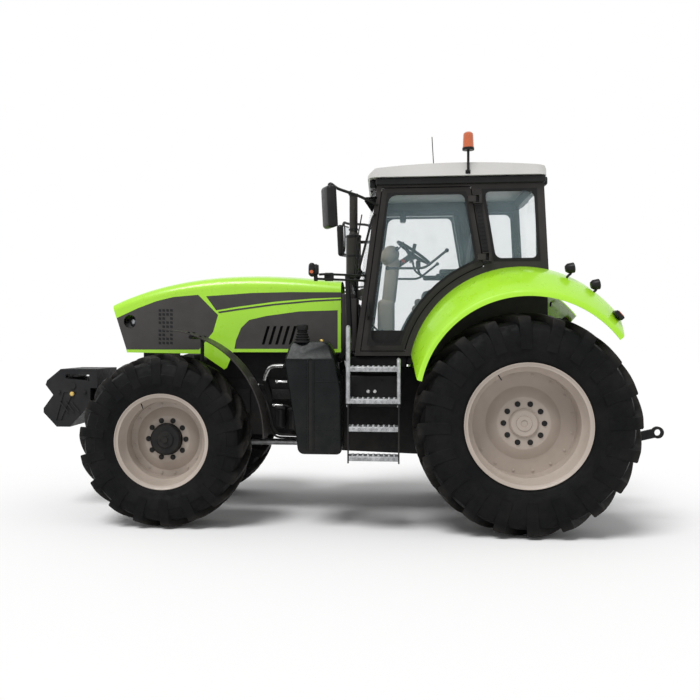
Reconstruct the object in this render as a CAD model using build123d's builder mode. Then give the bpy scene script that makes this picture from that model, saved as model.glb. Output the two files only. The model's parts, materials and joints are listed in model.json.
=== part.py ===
# A four-wheel-drive farm tractor with a cab, front weights and a three-point linkage, in millimetres.
# X runs forward, Y to the tractor's left and Z up. The origin is on the ground, under the middle of its box.
import os
from collections import namedtuple
from math import atan2, cos, radians, sin, tan

from build123d import *

os.makedirs("parts", exist_ok=True)

# ---- driving dimensions ----
wheelbase = 3050.0
rear_overhang = 1270.0  # rear axle to the tips of the lower links
front_overhang = 1340.0  # front axle to the noses of the weights
seat_gap = 0.3  # between a pane, lining or cap and what it sits in
pin_gap = 0.3  # all round a pin in its bore
running_gap = 6.0  # between a moving piece and its neighbour

# wheels: all seen from the hub, with lengths along the axle measured from the tyre's middle plane
Wheel = namedtuple(
    "Wheel",
    "radius width tread_width crown bead_radius bead_half flange_radius flange_thickness "
    "barrel_wall disc_inset disc_dish disc_wall disc_flat_radius hub_radius hub_reach bolt_circle middle_y",
)
front_wheel = Wheel(
    radius=748.0, width=540.0, tread_width=500.0, crown=30.0, bead_radius=378.0, bead_half=216.0,
    flange_radius=406.0, flange_thickness=14.0, barrel_wall=10.0, disc_inset=250.0, disc_dish=50.0,
    disc_wall=14.0, disc_flat_radius=205.0, hub_radius=135.0, hub_reach=70.0, bolt_circle=335.0,
    middle_y=930.0,
)
rear_wheel = Wheel(
    radius=922.0, width=650.0, tread_width=610.0, crown=38.0, bead_radius=478.0, bead_half=276.0,
    flange_radius=508.0, flange_thickness=14.0, barrel_wall=12.0, disc_inset=290.0, disc_dish=60.0,
    disc_wall=16.0, disc_flat_radius=225.0, hub_radius=120.0, hub_reach=14.0, bolt_circle=335.0,
    middle_y=960.0,
)
Lug = namedtuple("Lug", "count height width slant overlap foot")  # slant in degrees off the axle
lugs = {
    "front": Lug(count=18, height=42.0, width=50.0, slant=40.0, overlap=12.0, foot=118.0),
    "rear": Lug(count=20, height=50.0, width=60.0, slant=40.0, overlap=14.0, foot=150.0),
}
wheel_bolts = 10
wheel_bolt_radius = 13.0
wheel_bolt_height = 22.0
hub_shoulder = 26.0  # how far the drum stands out behind the disc

# front axle and steering
kingpin_y = 720.0
kingpin_radius = 26.0
knuckle_radius = 78.0
knuckle_height = 210.0
jaw_thickness = 38.0
jaw_radius = 70.0
beam_height = 170.0
beam_depth = 180.0
beam_end_depth = 104.0
beam_end_y = 622.0
steering_arm = 280.0
steering_arm_drop = 62.0
steering_arm_thickness = 36.0
tie_rod_radius = 17.0
tie_rod_eye_radius = 30.0
tie_rod_pin_radius = 11.0
casing_radius = 165.0  # differential casing in the middle of the beam
casing_reach = 130.0
trunnion_radius = 45.0
trunnion_reach = 185.0
trunnion_wall = 40.0
stub_axle_radius = 50.0
stub_axle_depth = 42.0
spindle_radius = 95.0
fender_lift = 70.0  # the front mudguard's arc is about a point this far above the wheel's centre
fender_clearance = 142.0
fender_radius = front_wheel.radius + fender_clearance
fender_start, fender_end = 92.0, 182.0  # degrees from straight ahead, over the top
fender_wall = 9.0
fender_inner_y = 800.0
fender_outer_y = 1195.0
fender_post_x = 260.0
fender_post_y = 632.0
fender_post_radius = 17.0
fender_arm_set, fender_arm_half, fender_arm_height = 12.0, 15.0, 60.0

# chassis
spine_half = 240.0  # gearbox and rear axle centre
housing_rear = -330.0  # the rear face of the axle's housing, from the rear axle
housing_bottom = 450.0
gearbox_rear = 560.0
gearbox_step = 1500.0  # where the gearbox steps down towards the engine
cab_mount_rear, cab_mount_front = 700.0, 860.0
cab_mount_inner_y, cab_mount_outer_y, cab_mount_depth = 440.0, 560.0, 120.0
cab_post_rear, cab_post_front, cab_post_inner_y, cab_post_outer_y = -120.0, 0.0, 400.0, 520.0
hanger_heights, hanger_height, hanger_length = (760.0, 1180.0), 110.0, 120.0  # of the fuel tanks
engine_half = 225.0
engine_rear = 1700.0
engine_front = wheelbase - 220.0
engine_bottom, engine_top = 730.0, 1830.0
gearbox_top = 1360.0
rail_half = 190.0
rail_wall = 55.0
rail_clearance = 17.0  # from the differential casing up to the front frame
rail_height = 230.0
rail_bottom = front_wheel.radius + casing_radius + rail_clearance
rail_top = rail_bottom + rail_height
carrier_reach = 880.0  # front axle to the face that the weights hang on
axle_casing_radius = 150.0
axle_casing_end_radius = 118.0
drive_shaft_radius = 30.0
drive_shaft_z = front_wheel.radius - 108.0
carrier_bottom = 850.0
weight_half = 330.0
weight_count = 12
weight_slit = 5.0
weight_slot_front, weight_slot_rear, weight_slot_z = 215.0, 450.0, 1252.0  # back from the weights' noses
weight_rod_x, weight_rod_z, weight_rod_radius, weight_rod_reach = 290.0, 1180.0, 30.0, 12.0
weight_groove, weight_groove_pitch = 10.0, 90.0
pto_z, pto_radius, pto_reach = 640.0, 22.2, 90.0
pto_boss_radius, pto_relief, pto_relief_radius = 40.0, 4.0, 20.5
drawbar_z, drawbar_half, drawbar_wall = 400.0, 50.0, 40.0
drawbar_reach, drawbar_hole_radius = 420.0, 16.5
radiator_half, radiator_top = 330.0, 1800.0
radiator_depth = 210.0
tank_rear = 1500.0
tank_clearance = 175.0  # from the front mudguard back to the tank
tank_front = wheelbase - fender_radius - tank_clearance
tank_inner_y, tank_outer_y = 445.0, 1130.0
tank_corner = 45.0
tank_bottom, tank_top = 650.0, 1608.0
tank_groove, tank_groove_depth, tank_groove_share, tank_groove_end = 26.0, 22.0, 0.42, 210.0
filler_set, filler_radius, filler_neck, filler_cap = 130.0, 58.0, 18.0, 34.0
step_rear, step_front = 1046.0, 1445.0
step_inner_y, step_outer_y = 960.0, 1215.0
step_rail, step_wall = 30.0, 26.0
step_bottom, step_top, step_handrail_top = 580.0, 1410.0, 1741.0
step_heights = (1141.0, 887.0, 624.0)

# cab
cab_half = 790.0
cab_wall = 46.0
cab_floor_z = 1480.0
cab_floor_wall = 45.0
cab_top = 3020.0
cab_header = 90.0
pillar_foot_x, pillar_head_x = 1415.0, 1212.0  # front faces of the front pillars, at floor and top
pillar_width = 52.0
windscreen_bulge = 70.0
screen_sill_z = 2070.0
cab_rear_foot_x, cab_rear_head_x = -268.0, -188.0
rear_pillar_width = 64.0
glass_wall = 6.0
roof_half = 862.0
roof_front, roof_rear = 1300.0, -215.0
roof_edge = 75.0
roof_crown = 35.0
roof_corner, roof_edge_radius = 110.0, 16.0

# doors
hinge_top_x, hinge_top_z = 400.0, 2864.0
hinge_low_x, hinge_low_z = 300.0, rear_wheel.radius + 1335.0
hinge_y = 824.0
door_gap = 8.0
door_wall = 40.0
door_frame = 46.0
handle_z, handle_length, handle_reach = 1860.0, 40.0, 34.0
middle_pillar_width = 78.0
hinge_set = 14.0  # how far ahead of the hinge line the door begins
hinge_eye, hinge_leaf, hinge_pin_radius = 13.0, 26.0, 7.0

# rear mudguards
guard_centre_z = rear_wheel.radius + 371.0
guard_inner_radius = rear_wheel.radius + 28.0
guard_outer_centre_z = rear_wheel.radius + 177.0
guard_outer_radius = rear_wheel.radius - 7.0
guard_outer_y = 1285.0
guard_crease_y = 1050.0
guard_wall = 14.0
arch_gap = 35.0  # between the rear tyre and the wall of its arch in the cab
guard_start, guard_end = 12.0, 154.0  # degrees from straight ahead, over the top
door_arc_margin = 62.0  # the door's curved edge runs this far above the mudguard

# hood
hood_half = 425.0
hood_wall = 8.0
hood_rear = 1548.0
hood_hinge_x, hood_hinge_z = 1612.0, 2092.0
hood_hinge_y = 200.0
hood_pin_radius = 9.0
panel_wall = 5.0
panel_set = 2.0  # how far the panels lie behind the hood's surface
louvre_count, louvre_pitch, louvre_front = 5, 62.0, 2250.0
louvre_width, louvre_lean, louvre_low, louvre_height = 26.0, -50.0, 1575.0, 170.0
hood_crown = 26.0
hood_nose, hood_nose_foot = 3715.0, 3560.0
hood_nose_z = 1968.0
hood_sill = 1505.0
hood_low = 1100.0  # the hood's form is cut from below, from this height to its sill
cut_past = 200.0  # how far a cut runs on past the hood's ends
radiator_set = 150.0  # from the nose's foot back to the radiator
radiator_rear = hood_nose_foot - radiator_set - radiator_depth
hood_gap = 54.0  # from the hood's rear edge back to the cowl
cowl_half, cowl_low = 400.0, 1420.0
engine_shoulder = 1250.0

# three-point linkage
link_pivot_x, link_pivot_z = -190.0, 560.0
link_y = 410.0
link_rise = 13.5  # degrees above level, parked
link_width = 34.0
link_height = 78.0
lift_arm = 400.0
lift_pivot_z = 1200.0
link_pin_radius = 18.4
hook_radius = 52.0
hook_bore_radius = 28.5
rod_width, rod_gap, rod_eye_radius, rod_pin_radius = 30.0, 1.0, 30.0, 12.0
lift_shaft_radius = 38.0
top_link_radius, top_link_z, top_link_length, top_link_pin_radius = 22.0, 1020.0, 560.0, 16.0

# fittings
headlamp_set, headlamp_z, headlamp_radius = 125.0, 1790.0, 62.0
headlamp_inner_y, headlamp_outer_y = 300.0, 372.0
exhaust_x, exhaust_y = 1470.0, 700.0
muffler_radius, muffler_low, muffler_top = 76.0, 2230.0, 2700.0
exhaust_radius, exhaust_top, exhaust_wall, exhaust_bore = 42.0, 3110.0, 5.0, 60.0
mirror_foot_z, mirror_x, mirror_y = 2810.0, 1620.0, 1350.0
mirror_low, mirror_height, mirror_width, mirror_depth, mirror_tube_radius = 2522.0, 366.0, 190.0, 70.0, 13.0
mirror_corner, mirror_recess, mirror_rim = 28.0, 7.0, 12.0
lamp_x, lamp_y, lamp_z, lamp_radius = 1766.0, 1160.0, 2200.0, 62.0
rear_lamps_x, rear_lamp_y = (-366.0, -560.0), 1000.0
beacon_top, beacon_height = 3387.0, 162.0
beacon_low = beacon_top - beacon_height
antenna_top = 3470.0
seat_x, seat_z = 560.0, 1960.0
column_x, wheel_x, wheel_z, wheel_tilt, steering_radius = 1150.0, 880.0, 2440.0, 35.0, 195.0

overall_length = rear_overhang + wheelbase + front_overhang
rear_axle_x = rear_overhang - overall_length / 2
front_axle_x = rear_axle_x + wheelbase


def ahead(distance):
    """The X of a point this far ahead of the rear axle."""
    return rear_axle_x + distance


def side_plane(y):
    """Local x runs forward and local y up, and an extrusion runs to the tractor's right."""
    return Plane(origin=(0, y, 0), x_dir=(1, 0, 0), z_dir=(0, -1, 0))


def block(x0, x1, y0, y1, z0, z1, mode=Mode.ADD):
    """A box between two limits on each axis, given in either order, in the part that is being built."""
    with Locations(((x0 + x1) / 2, (y0 + y1) / 2, (z0 + z1) / 2)):
        Box(abs(x1 - x0), abs(y1 - y0), abs(z1 - z0), mode=mode)


def side_plate(points, y_outer, thickness, mode=Mode.ADD):
    """A plate cut to an outline in side view, from y_outer towards the tractor's right."""
    with BuildSketch(side_plane(y_outer)) as outline:
        Polygon(*points, align=None)
    extrude(outline.sketch, amount=thickness, mode=mode)


def bar(start, end, radius, mode=Mode.ADD):
    """A round bar between two points, in the part that is being built."""
    start, end = Vector(*start), Vector(*end)
    with BuildSketch(Plane(origin=start, z_dir=end - start)) as section:
        Circle(radius)
    extrude(section.sketch, amount=(end - start).length, mode=mode)


def save(part, name):
    part.label = name
    export_step(part, f"parts/{name}.step")


def between(low, high, share):
    return low + (high - low) * share


def pillar_x(z):
    """The front face of the front pillars, which lean back, at a height."""
    return ahead(between(pillar_foot_x, pillar_head_x, (z - cab_floor_z) / (cab_top - cab_floor_z)))


def cab_rear_x(z):
    """The rear face of the cab at a height."""
    return ahead(between(cab_rear_foot_x, cab_rear_head_x, (z - cab_floor_z) / (cab_top - cab_floor_z)))


def hinge_x(z):
    """The door's hinge line, which leans forward, at a height."""
    share = (z - hinge_low_z) / (hinge_top_z - hinge_low_z)
    return ahead(between(hinge_low_x, hinge_top_x, share))


# rear mudguards: the arcs of their top at three places across, inner edge first
Arc = namedtuple("Arc", "y centre_z radius")
guard_arcs = (
    Arc(cab_half + seat_gap, guard_centre_z, guard_inner_radius),
    Arc(guard_crease_y, guard_centre_z - 58, guard_inner_radius - 10),
    Arc(guard_outer_y, guard_outer_centre_z, guard_outer_radius),
)


def guard_z(distance, y):
    """The top of a rear mudguard at a point this far ahead of the rear axle."""
    inner_arc, outer_arc = guard_arcs[:2] if y < guard_crease_y else guard_arcs[1:]
    share = (y - inner_arc.y) / (outer_arc.y - inner_arc.y)
    radius = between(inner_arc.radius, outer_arc.radius, share)
    return between(inner_arc.centre_z, outer_arc.centre_z, share) + (radius**2 - distance**2) ** 0.5


# ---- wheels: tyre, rim with its disc, and the hub that carries it ----
sides = {"left": 1, "right": -1}
axles = {"front": (front_wheel, front_axle_x), "rear": (rear_wheel, rear_axle_x)}
spindle_end_y = front_wheel.middle_y - 135.0
casing_end_y = rear_wheel.middle_y - 95.0


def wheel_plane(x, y, wheel, side):
    """Local x runs out along the axle and local y is the radius, from a point on the axle's line."""
    return Plane(origin=(x, side * y, wheel.radius), x_dir=(0, side, 0), z_dir=(side, 0, 0))


def lug_bar(wheel, lug, centre, hand):
    """One bar of a tread: from the tyre's middle out over the shoulder and down the sidewall."""
    slope = tan(radians(lug.slant))
    half, edge = wheel.width / 2, wheel.tread_width / 2
    shoulder = wheel.radius - wheel.crown
    foot = shoulder - lug.foot
    across_and_radius = (
        (-lug.overlap, wheel.radius), (0.55 * edge, wheel.radius - 0.3 * wheel.crown), (edge, shoulder),
        (between(edge, half, 0.6), shoulder - lug.height / 2), (half - 2, between(foot, shoulder, 0.4)),
        (half - 8, foot), (edge - lug.height, foot), (-lug.overlap, wheel.radius - 1.2 * lug.height),
    )
    along = Vector(-slope, hand, 0).normalized()
    with BuildPart() as piece:
        with BuildSketch(Plane(origin=centre, x_dir=along, z_dir=along.cross(Vector(0, 0, 1)))):
            Polygon(
                *(
                    (across * (1 + slope**2) ** 0.5, (radius**2 - (across * slope) ** 2) ** 0.5)
                    for across, radius in across_and_radius
                ),
                align=None,
            )
        extrude(amount=lug.width / 2, both=True)
        with BuildSketch(Plane(origin=centre, z_dir=(0, 1, 0))):
            Circle(1.1 * wheel.radius)
        extrude(amount=half, both=True, mode=Mode.INTERSECT)
    return piece.part


def left_tyre(wheel, lug, plane, axle_line):
    """A tyre whose bars point forward at its top: the carcass with both rows of bars."""
    with BuildPart() as tyre:
        with BuildSketch(plane):
            with BuildLine():
                bead, flank = wheel.bead_half, wheel.flange_radius + seat_gap
                half, edge = wheel.width / 2, wheel.tread_width / 2 - lug.height / 4
                base, shoulder = wheel.radius - lug.height, wheel.radius - wheel.crown - lug.height
                bulge = between(flank, shoulder, 0.5)
                Polyline((-bead, flank), (-bead, wheel.bead_radius), (bead, wheel.bead_radius), (bead, flank))
                ThreePointArc((bead, flank), (half, bulge), (edge, shoulder))
                ThreePointArc((edge, shoulder), (0, base), (-edge, shoulder))
                ThreePointArc((-edge, shoulder), (-half, bulge), (-bead, flank))
            make_face()
        revolve(axis=axle_line)
        pitch = 360 / lug.count
        for hand, start in ((1, 0), (-1, pitch / 2)):
            first = lug_bar(wheel, lug, plane.origin, hand)
            add([first.rotate(axle_line, start + pitch * step) for step in range(lug.count)])
    return tyre.part


for end, (wheel, axle_x) in axles.items():
    axle_line = Axis((axle_x, 0, wheel.radius), (0, 1, 0))
    lip = wheel.bead_half + wheel.flange_thickness
    face = lip - wheel.disc_inset  # the disc's outer face, out from the tyre's middle
    barrel_radius = wheel.bead_radius - wheel.barrel_wall
    bead = wheel.bead_half
    carrier_y = {"front": spindle_end_y, "rear": casing_end_y}[end]
    tyre = left_tyre(wheel, lugs[end], wheel_plane(axle_x, wheel.middle_y, wheel, 1), axle_line)
    for side_name, side in sides.items():
        plane = wheel_plane(axle_x, wheel.middle_y, wheel, side)
        save(tyre if side > 0 else mirror(tyre, about=Plane.XZ), f"tyre_{end}_{side_name}")

        with BuildPart() as rim:
            with BuildSketch(plane):
                with BuildLine():
                    Polyline(
                        (-lip, barrel_radius), (-lip, wheel.flange_radius), (-bead, wheel.flange_radius),
                        (-bead, wheel.bead_radius), (bead, wheel.bead_radius), (bead, wheel.flange_radius),
                        (lip, wheel.flange_radius), (lip, barrel_radius),
                        close=True,
                    )
                make_face()
                with BuildLine():
                    flat, root = wheel.disc_flat_radius, wheel.disc_flat_radius + wheel.disc_dish * 1.4
                    back = face - wheel.disc_wall
                    Polyline(
                        (face, wheel.hub_radius + seat_gap), (face, flat), (face - wheel.disc_dish, root),
                        (face - wheel.disc_dish, barrel_radius + 1),
                        (back - wheel.disc_dish, barrel_radius + 1),
                        (back - wheel.disc_dish, root), (back, flat), (back, wheel.hub_radius + seat_gap),
                        close=True,
                    )
                make_face()
            revolve(axis=axle_line)
            outward = Plane(plane.origin + Vector(0, side * face, 0), x_dir=(1, 0, 0), z_dir=(0, side, 0))
            with BuildSketch(outward):
                with PolarLocations(wheel.bolt_circle / 2, wheel_bolts):
                    RegularPolygon(wheel_bolt_radius, 6)
            extrude(amount=wheel_bolt_height)
        save(rim.part, f"rim_{end}_{side_name}")

        with BuildPart() as hub:
            inner = carrier_y + running_gap - wheel.middle_y
            drum = wheel.hub_radius + hub_shoulder
            with BuildSketch(plane):
                with BuildLine():
                    Polyline(
                        (inner, 0), (inner, drum), (back, drum), (back, wheel.hub_radius),
                        (face + wheel.hub_reach, wheel.hub_radius),
                        (face + wheel.hub_reach + 12, wheel.hub_radius - 14),
                        (face + wheel.hub_reach + 12, 0),
                        close=True,
                    )
                make_face()
            revolve(axis=axle_line)
            with BuildSketch(plane):
                with BuildLine():
                    Polyline(
                        (inner, 0), (inner, stub_axle_radius + pin_gap),
                        (inner + stub_axle_depth, stub_axle_radius + pin_gap),
                        (inner + stub_axle_depth, 0),
                        close=True,
                    )
                make_face()
            revolve(axis=axle_line, mode=Mode.SUBTRACT)
        save(hub.part, f"hub_{end}_{side_name}")
shaft_reach = running_gap + stub_axle_depth - pin_gap  # how far a stub axle runs into its hub

# ---- front axle: beam with its casing and jaws, and the knuckles between the jaws ----
jaw_low = knuckle_height / 2 + running_gap
axle_z = front_wheel.radius
with BuildPart() as front_axle:
    with BuildSketch(Plane.XY.offset(axle_z - beam_height / 2)):
        Polygon(
            *(
                (front_axle_x + x, y)
                for x, y in (
                    (-beam_end_depth / 2, -beam_end_y), (beam_end_depth / 2, -beam_end_y),
                    (beam_depth / 2, -rail_half), (beam_depth / 2, rail_half),
                    (beam_end_depth / 2, beam_end_y), (-beam_end_depth / 2, beam_end_y),
                    (-beam_depth / 2, rail_half), (-beam_depth / 2, -rail_half),
                )
            ),
            align=None,
        )
    extrude(amount=beam_height)
    for reach, radius in ((casing_reach, casing_radius), (trunnion_reach, trunnion_radius)):
        bar((front_axle_x - reach, 0, axle_z), (front_axle_x + reach, 0, axle_z), radius)
    for side in sides.values():
        y = side * kingpin_y
        x_half = beam_end_depth / 2
        web_y = beam_end_y - 2 * running_gap
        block(
            front_axle_x - x_half, front_axle_x + x_half, side * (web_y - 70), side * web_y,
            axle_z - jaw_low - jaw_thickness, axle_z + jaw_low + jaw_thickness,
        )
        for bottom in (axle_z + jaw_low, axle_z - jaw_low - jaw_thickness):
            with BuildSketch(Plane.XY.offset(bottom)):
                with Locations((front_axle_x, y)):
                    Circle(jaw_radius)
                with Locations((front_axle_x, (y + side * (web_y - 70)) / 2)):
                    Rectangle(2 * x_half, kingpin_y - web_y + 70)
                with Locations((front_axle_x, y)):
                    Circle(kingpin_radius + pin_gap, mode=Mode.SUBTRACT)
            extrude(amount=jaw_thickness)
save(front_axle.part, "front_axle_beam")

arm_top = axle_z - steering_arm_drop + steering_arm_thickness / 2
fender_centre_z = axle_z + fender_lift
fender_under = fender_radius - fender_wall
post_bar_radius = fender_under - fender_post_radius - seat_gap
post_bar_z = fender_centre_z + (post_bar_radius**2 - fender_post_x**2) ** 0.5
for side_name, side in sides.items():
    pin = Vector(front_axle_x, side * kingpin_y, 0)
    with BuildPart() as knuckle:
        for half, radius in ((knuckle_height / 2, knuckle_radius), (jaw_low + jaw_thickness, kingpin_radius)):
            bar((pin.X, pin.Y, axle_z - half), (pin.X, pin.Y, axle_z + half), radius)
        bar((pin.X, pin.Y, axle_z), (pin.X, side * spindle_end_y, axle_z), spindle_radius)
        bar((pin.X, pin.Y, axle_z), (pin.X, side * (spindle_end_y + shaft_reach), axle_z), stub_axle_radius)
        # steering arm, with a bore for the tie rod's pin
        with BuildSketch(Plane.XY.offset(arm_top - steering_arm_thickness)):
            with Locations((pin.X + steering_arm / 2, pin.Y)):
                Rectangle(steering_arm, 2 * tie_rod_eye_radius)
            with Locations((pin.X + steering_arm, pin.Y)):
                Circle(tie_rod_eye_radius)
                Circle(tie_rod_pin_radius + pin_gap, mode=Mode.SUBTRACT)
        extrude(amount=steering_arm_thickness)
        # arm and post that carry the mudguard up inside the tyre; the arm leads back past the beam's end
        arm_z = axle_z + 20
        root = Vector(pin.X - knuckle_radius / 2, side * (kingpin_y + fender_arm_set))
        tip = Vector(pin.X - fender_post_x, side * fender_post_y)
        across = (tip - root).normalized().rotate(Axis.Z, 90) * fender_arm_half
        with BuildSketch(Plane.XY.offset(arm_z - fender_arm_height / 2)):
            Polygon(root + across, tip + across, tip - across, root - across, align=None)
        extrude(amount=fender_arm_height)
        with BuildLine() as post:
            FilletPolyline(
                (pin.X - fender_post_x, side * fender_post_y, arm_z),
                (pin.X - fender_post_x, side * fender_post_y, post_bar_z),
                (pin.X - fender_post_x, side * (fender_outer_y - 30), post_bar_z),
                radius=3 * fender_post_radius,
            )
        with BuildSketch(Plane(origin=post.line @ 0, z_dir=post.line % 0)):
            Circle(fender_post_radius)
        sweep(path=post.line)
    save(knuckle.part, f"knuckle_{side_name}")

    with BuildPart() as fender:
        centre = (front_axle_x, fender_centre_z)
        with BuildSketch(side_plane(max(side * fender_inner_y, side * fender_outer_y))):
            with BuildLine():
                span = fender_end - fender_start
                outer_arc = CenterArc(centre, fender_radius, fender_start, span)
                inner_arc = CenterArc(centre, fender_under, fender_start, span)
                Line(outer_arc @ 0, inner_arc @ 0)
                Line(outer_arc @ 1, inner_arc @ 1)
            make_face()
        extrude(amount=fender_outer_y - fender_inner_y)
    save(fender.part, f"front_fender_{side_name}")

with BuildPart() as tie_rod:
    rod_x = front_axle_x + steering_arm
    eye_z = arm_top + 1.0
    rod_z = eye_z + tie_rod_radius + 4
    bar((rod_x, -kingpin_y, rod_z), (rod_x, kingpin_y, rod_z), tie_rod_radius)
    for side in sides.values():
        eye = side * kingpin_y
        bar((rod_x, eye, eye_z), (rod_x, eye, rod_z + tie_rod_radius + 4), tie_rod_eye_radius)
        bar((rod_x, eye, eye_z - steering_arm_thickness), (rod_x, eye, eye_z), tie_rod_pin_radius)
save(tie_rod.part, "tie_rod")

# ---- chassis: engine, front frame, weights, gearbox, rear axle ----
with BuildPart() as engine:
    block(ahead(engine_rear), ahead(engine_front), -engine_half, engine_half, engine_bottom, engine_shoulder)
    block(
        ahead(engine_rear) + 60, ahead(engine_front), -engine_half + 25, engine_half - 25,
        engine_shoulder, engine_top,
    )
save(engine.part, "engine_block")

rail_rear = ahead(engine_front) - 420
rail_front = front_axle_x + carrier_reach
with BuildPart() as front_frame:
    block(ahead(engine_front), rail_front, -rail_half, rail_half, rail_bottom, rail_top)
    block(
        ahead(engine_front) + rail_wall, rail_front - 2 * rail_wall, rail_wall - rail_half,
        rail_half - rail_wall, rail_bottom, rail_top, mode=Mode.SUBTRACT,
    )
    # rails beside the engine, and the bearings that the axle's trunnions rock in
    for side in sides.values():
        block(
            rail_rear, ahead(engine_front), side * (engine_half + seat_gap),
            side * (engine_half + rail_wall / 2), rail_bottom, rail_top,
        )
        block(
            ahead(engine_front), ahead(engine_front) + rail_wall,
            side * (rail_half - 10), side * (engine_half + rail_wall / 2), rail_bottom, rail_top,
        )
    for reach in (casing_reach + running_gap, -casing_reach - running_gap - trunnion_wall):
        block(
            front_axle_x + reach, front_axle_x + reach + trunnion_wall, -rail_half, rail_half,
            rail_bottom, rail_bottom + 2 * trunnion_wall,
        )
        block(
            front_axle_x + reach, front_axle_x + reach + trunnion_wall, -1.6 * trunnion_radius,
            1.6 * trunnion_radius, axle_z - 1.4 * trunnion_radius, rail_bottom + 1,
        )
    bar(
        (front_axle_x - trunnion_reach - 1, 0, axle_z), (front_axle_x + trunnion_reach + 1, 0, axle_z),
        trunnion_radius + pin_gap, mode=Mode.SUBTRACT,
    )
    block(rail_front - 2 * rail_wall, rail_front, -rail_half, rail_half, carrier_bottom, rail_top)
save(front_frame.part, "front_frame")

nose = front_axle_x + front_overhang
weight_pitch = (2 * weight_half + weight_slit) / weight_count
with BuildPart() as weights:
    side_plate(
        (
            (rail_front + seat_gap, 1000), (nose - 260, 790), (nose - 130, 790), (nose, 925), (nose, 965),
            (nose - 95, 1093), (nose - 20, 1190), (nose - 35, 1232), (nose - 170, 1341),
            (rail_front - 70, 1341), (rail_front - 70, rail_top + seat_gap),
            (rail_front + seat_gap, rail_top + seat_gap),
        ),
        weight_half, 2 * weight_half,
    )
    for slit in range(1, weight_count):
        y = weight_half + weight_slit / 2 - slit * weight_pitch
        block(
            rail_front + 90, nose + 1, y - weight_slit / 2, y + weight_slit / 2, 700, 1400, mode=Mode.SUBTRACT,
        )
    # the slot to lift them by, and the boss of the rod that clamps them together
    side_plate(
        (
            (nose - weight_slot_front, weight_slot_z), (nose - weight_slot_rear, weight_slot_z - 22),
            (nose - weight_slot_rear, weight_slot_z + 34), (nose - weight_slot_front, weight_slot_z + 42),
        ),
        weight_half, 2 * weight_half, mode=Mode.SUBTRACT,
    )
    bar(
        (nose - weight_rod_x, -weight_half - weight_rod_reach, weight_rod_z),
        (nose - weight_rod_x, weight_half + weight_rod_reach, weight_rod_z), weight_rod_radius,
    )
    # grooves down the outer faces
    for side in sides.values():
        for start in (0, weight_groove_pitch):
            side_plate(
                (
                    (nose - 330 + start, 1120), (nose - 290 + start, 1120), (nose - 170 + start / 2, 850),
                    (nose - 210 + start / 2, 850),
                ),
                max(side * weight_half, side * (weight_half - weight_groove)), weight_groove,
                mode=Mode.SUBTRACT,
            )
save(weights.part, "front_weights")

with BuildPart() as gearbox:
    side_plate(
        (
            (ahead(gearbox_rear), drive_shaft_z - 80), (ahead(gearbox_step), drive_shaft_z - 50),
            (ahead(engine_rear) - seat_gap, drive_shaft_z - 40), (ahead(engine_rear) - seat_gap, 1250),
            (ahead(gearbox_step), gearbox_top), (ahead(gearbox_rear), gearbox_top),
        ),
        spine_half, 2 * spine_half,
    )
    for side in sides.values():  # hangers for the tank and the steps
        for z in hanger_heights:
            block(
                ahead(tank_rear + 30), ahead(tank_rear + 30 + hanger_length), side * spine_half,
                side * (tank_inner_y - seat_gap), z, z + hanger_height,
            )
        block(
            ahead(cab_mount_rear), ahead(cab_mount_front), side * spine_half, side * cab_mount_outer_y,
            gearbox_top - cab_mount_depth, gearbox_top,
        )
        block(
            ahead(cab_mount_rear), ahead(cab_mount_front), side * cab_mount_inner_y, side * cab_mount_outer_y,
            gearbox_top - cab_mount_depth, cab_floor_z - seat_gap,
        )
save(gearbox.part, "gearbox_housing")

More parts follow.
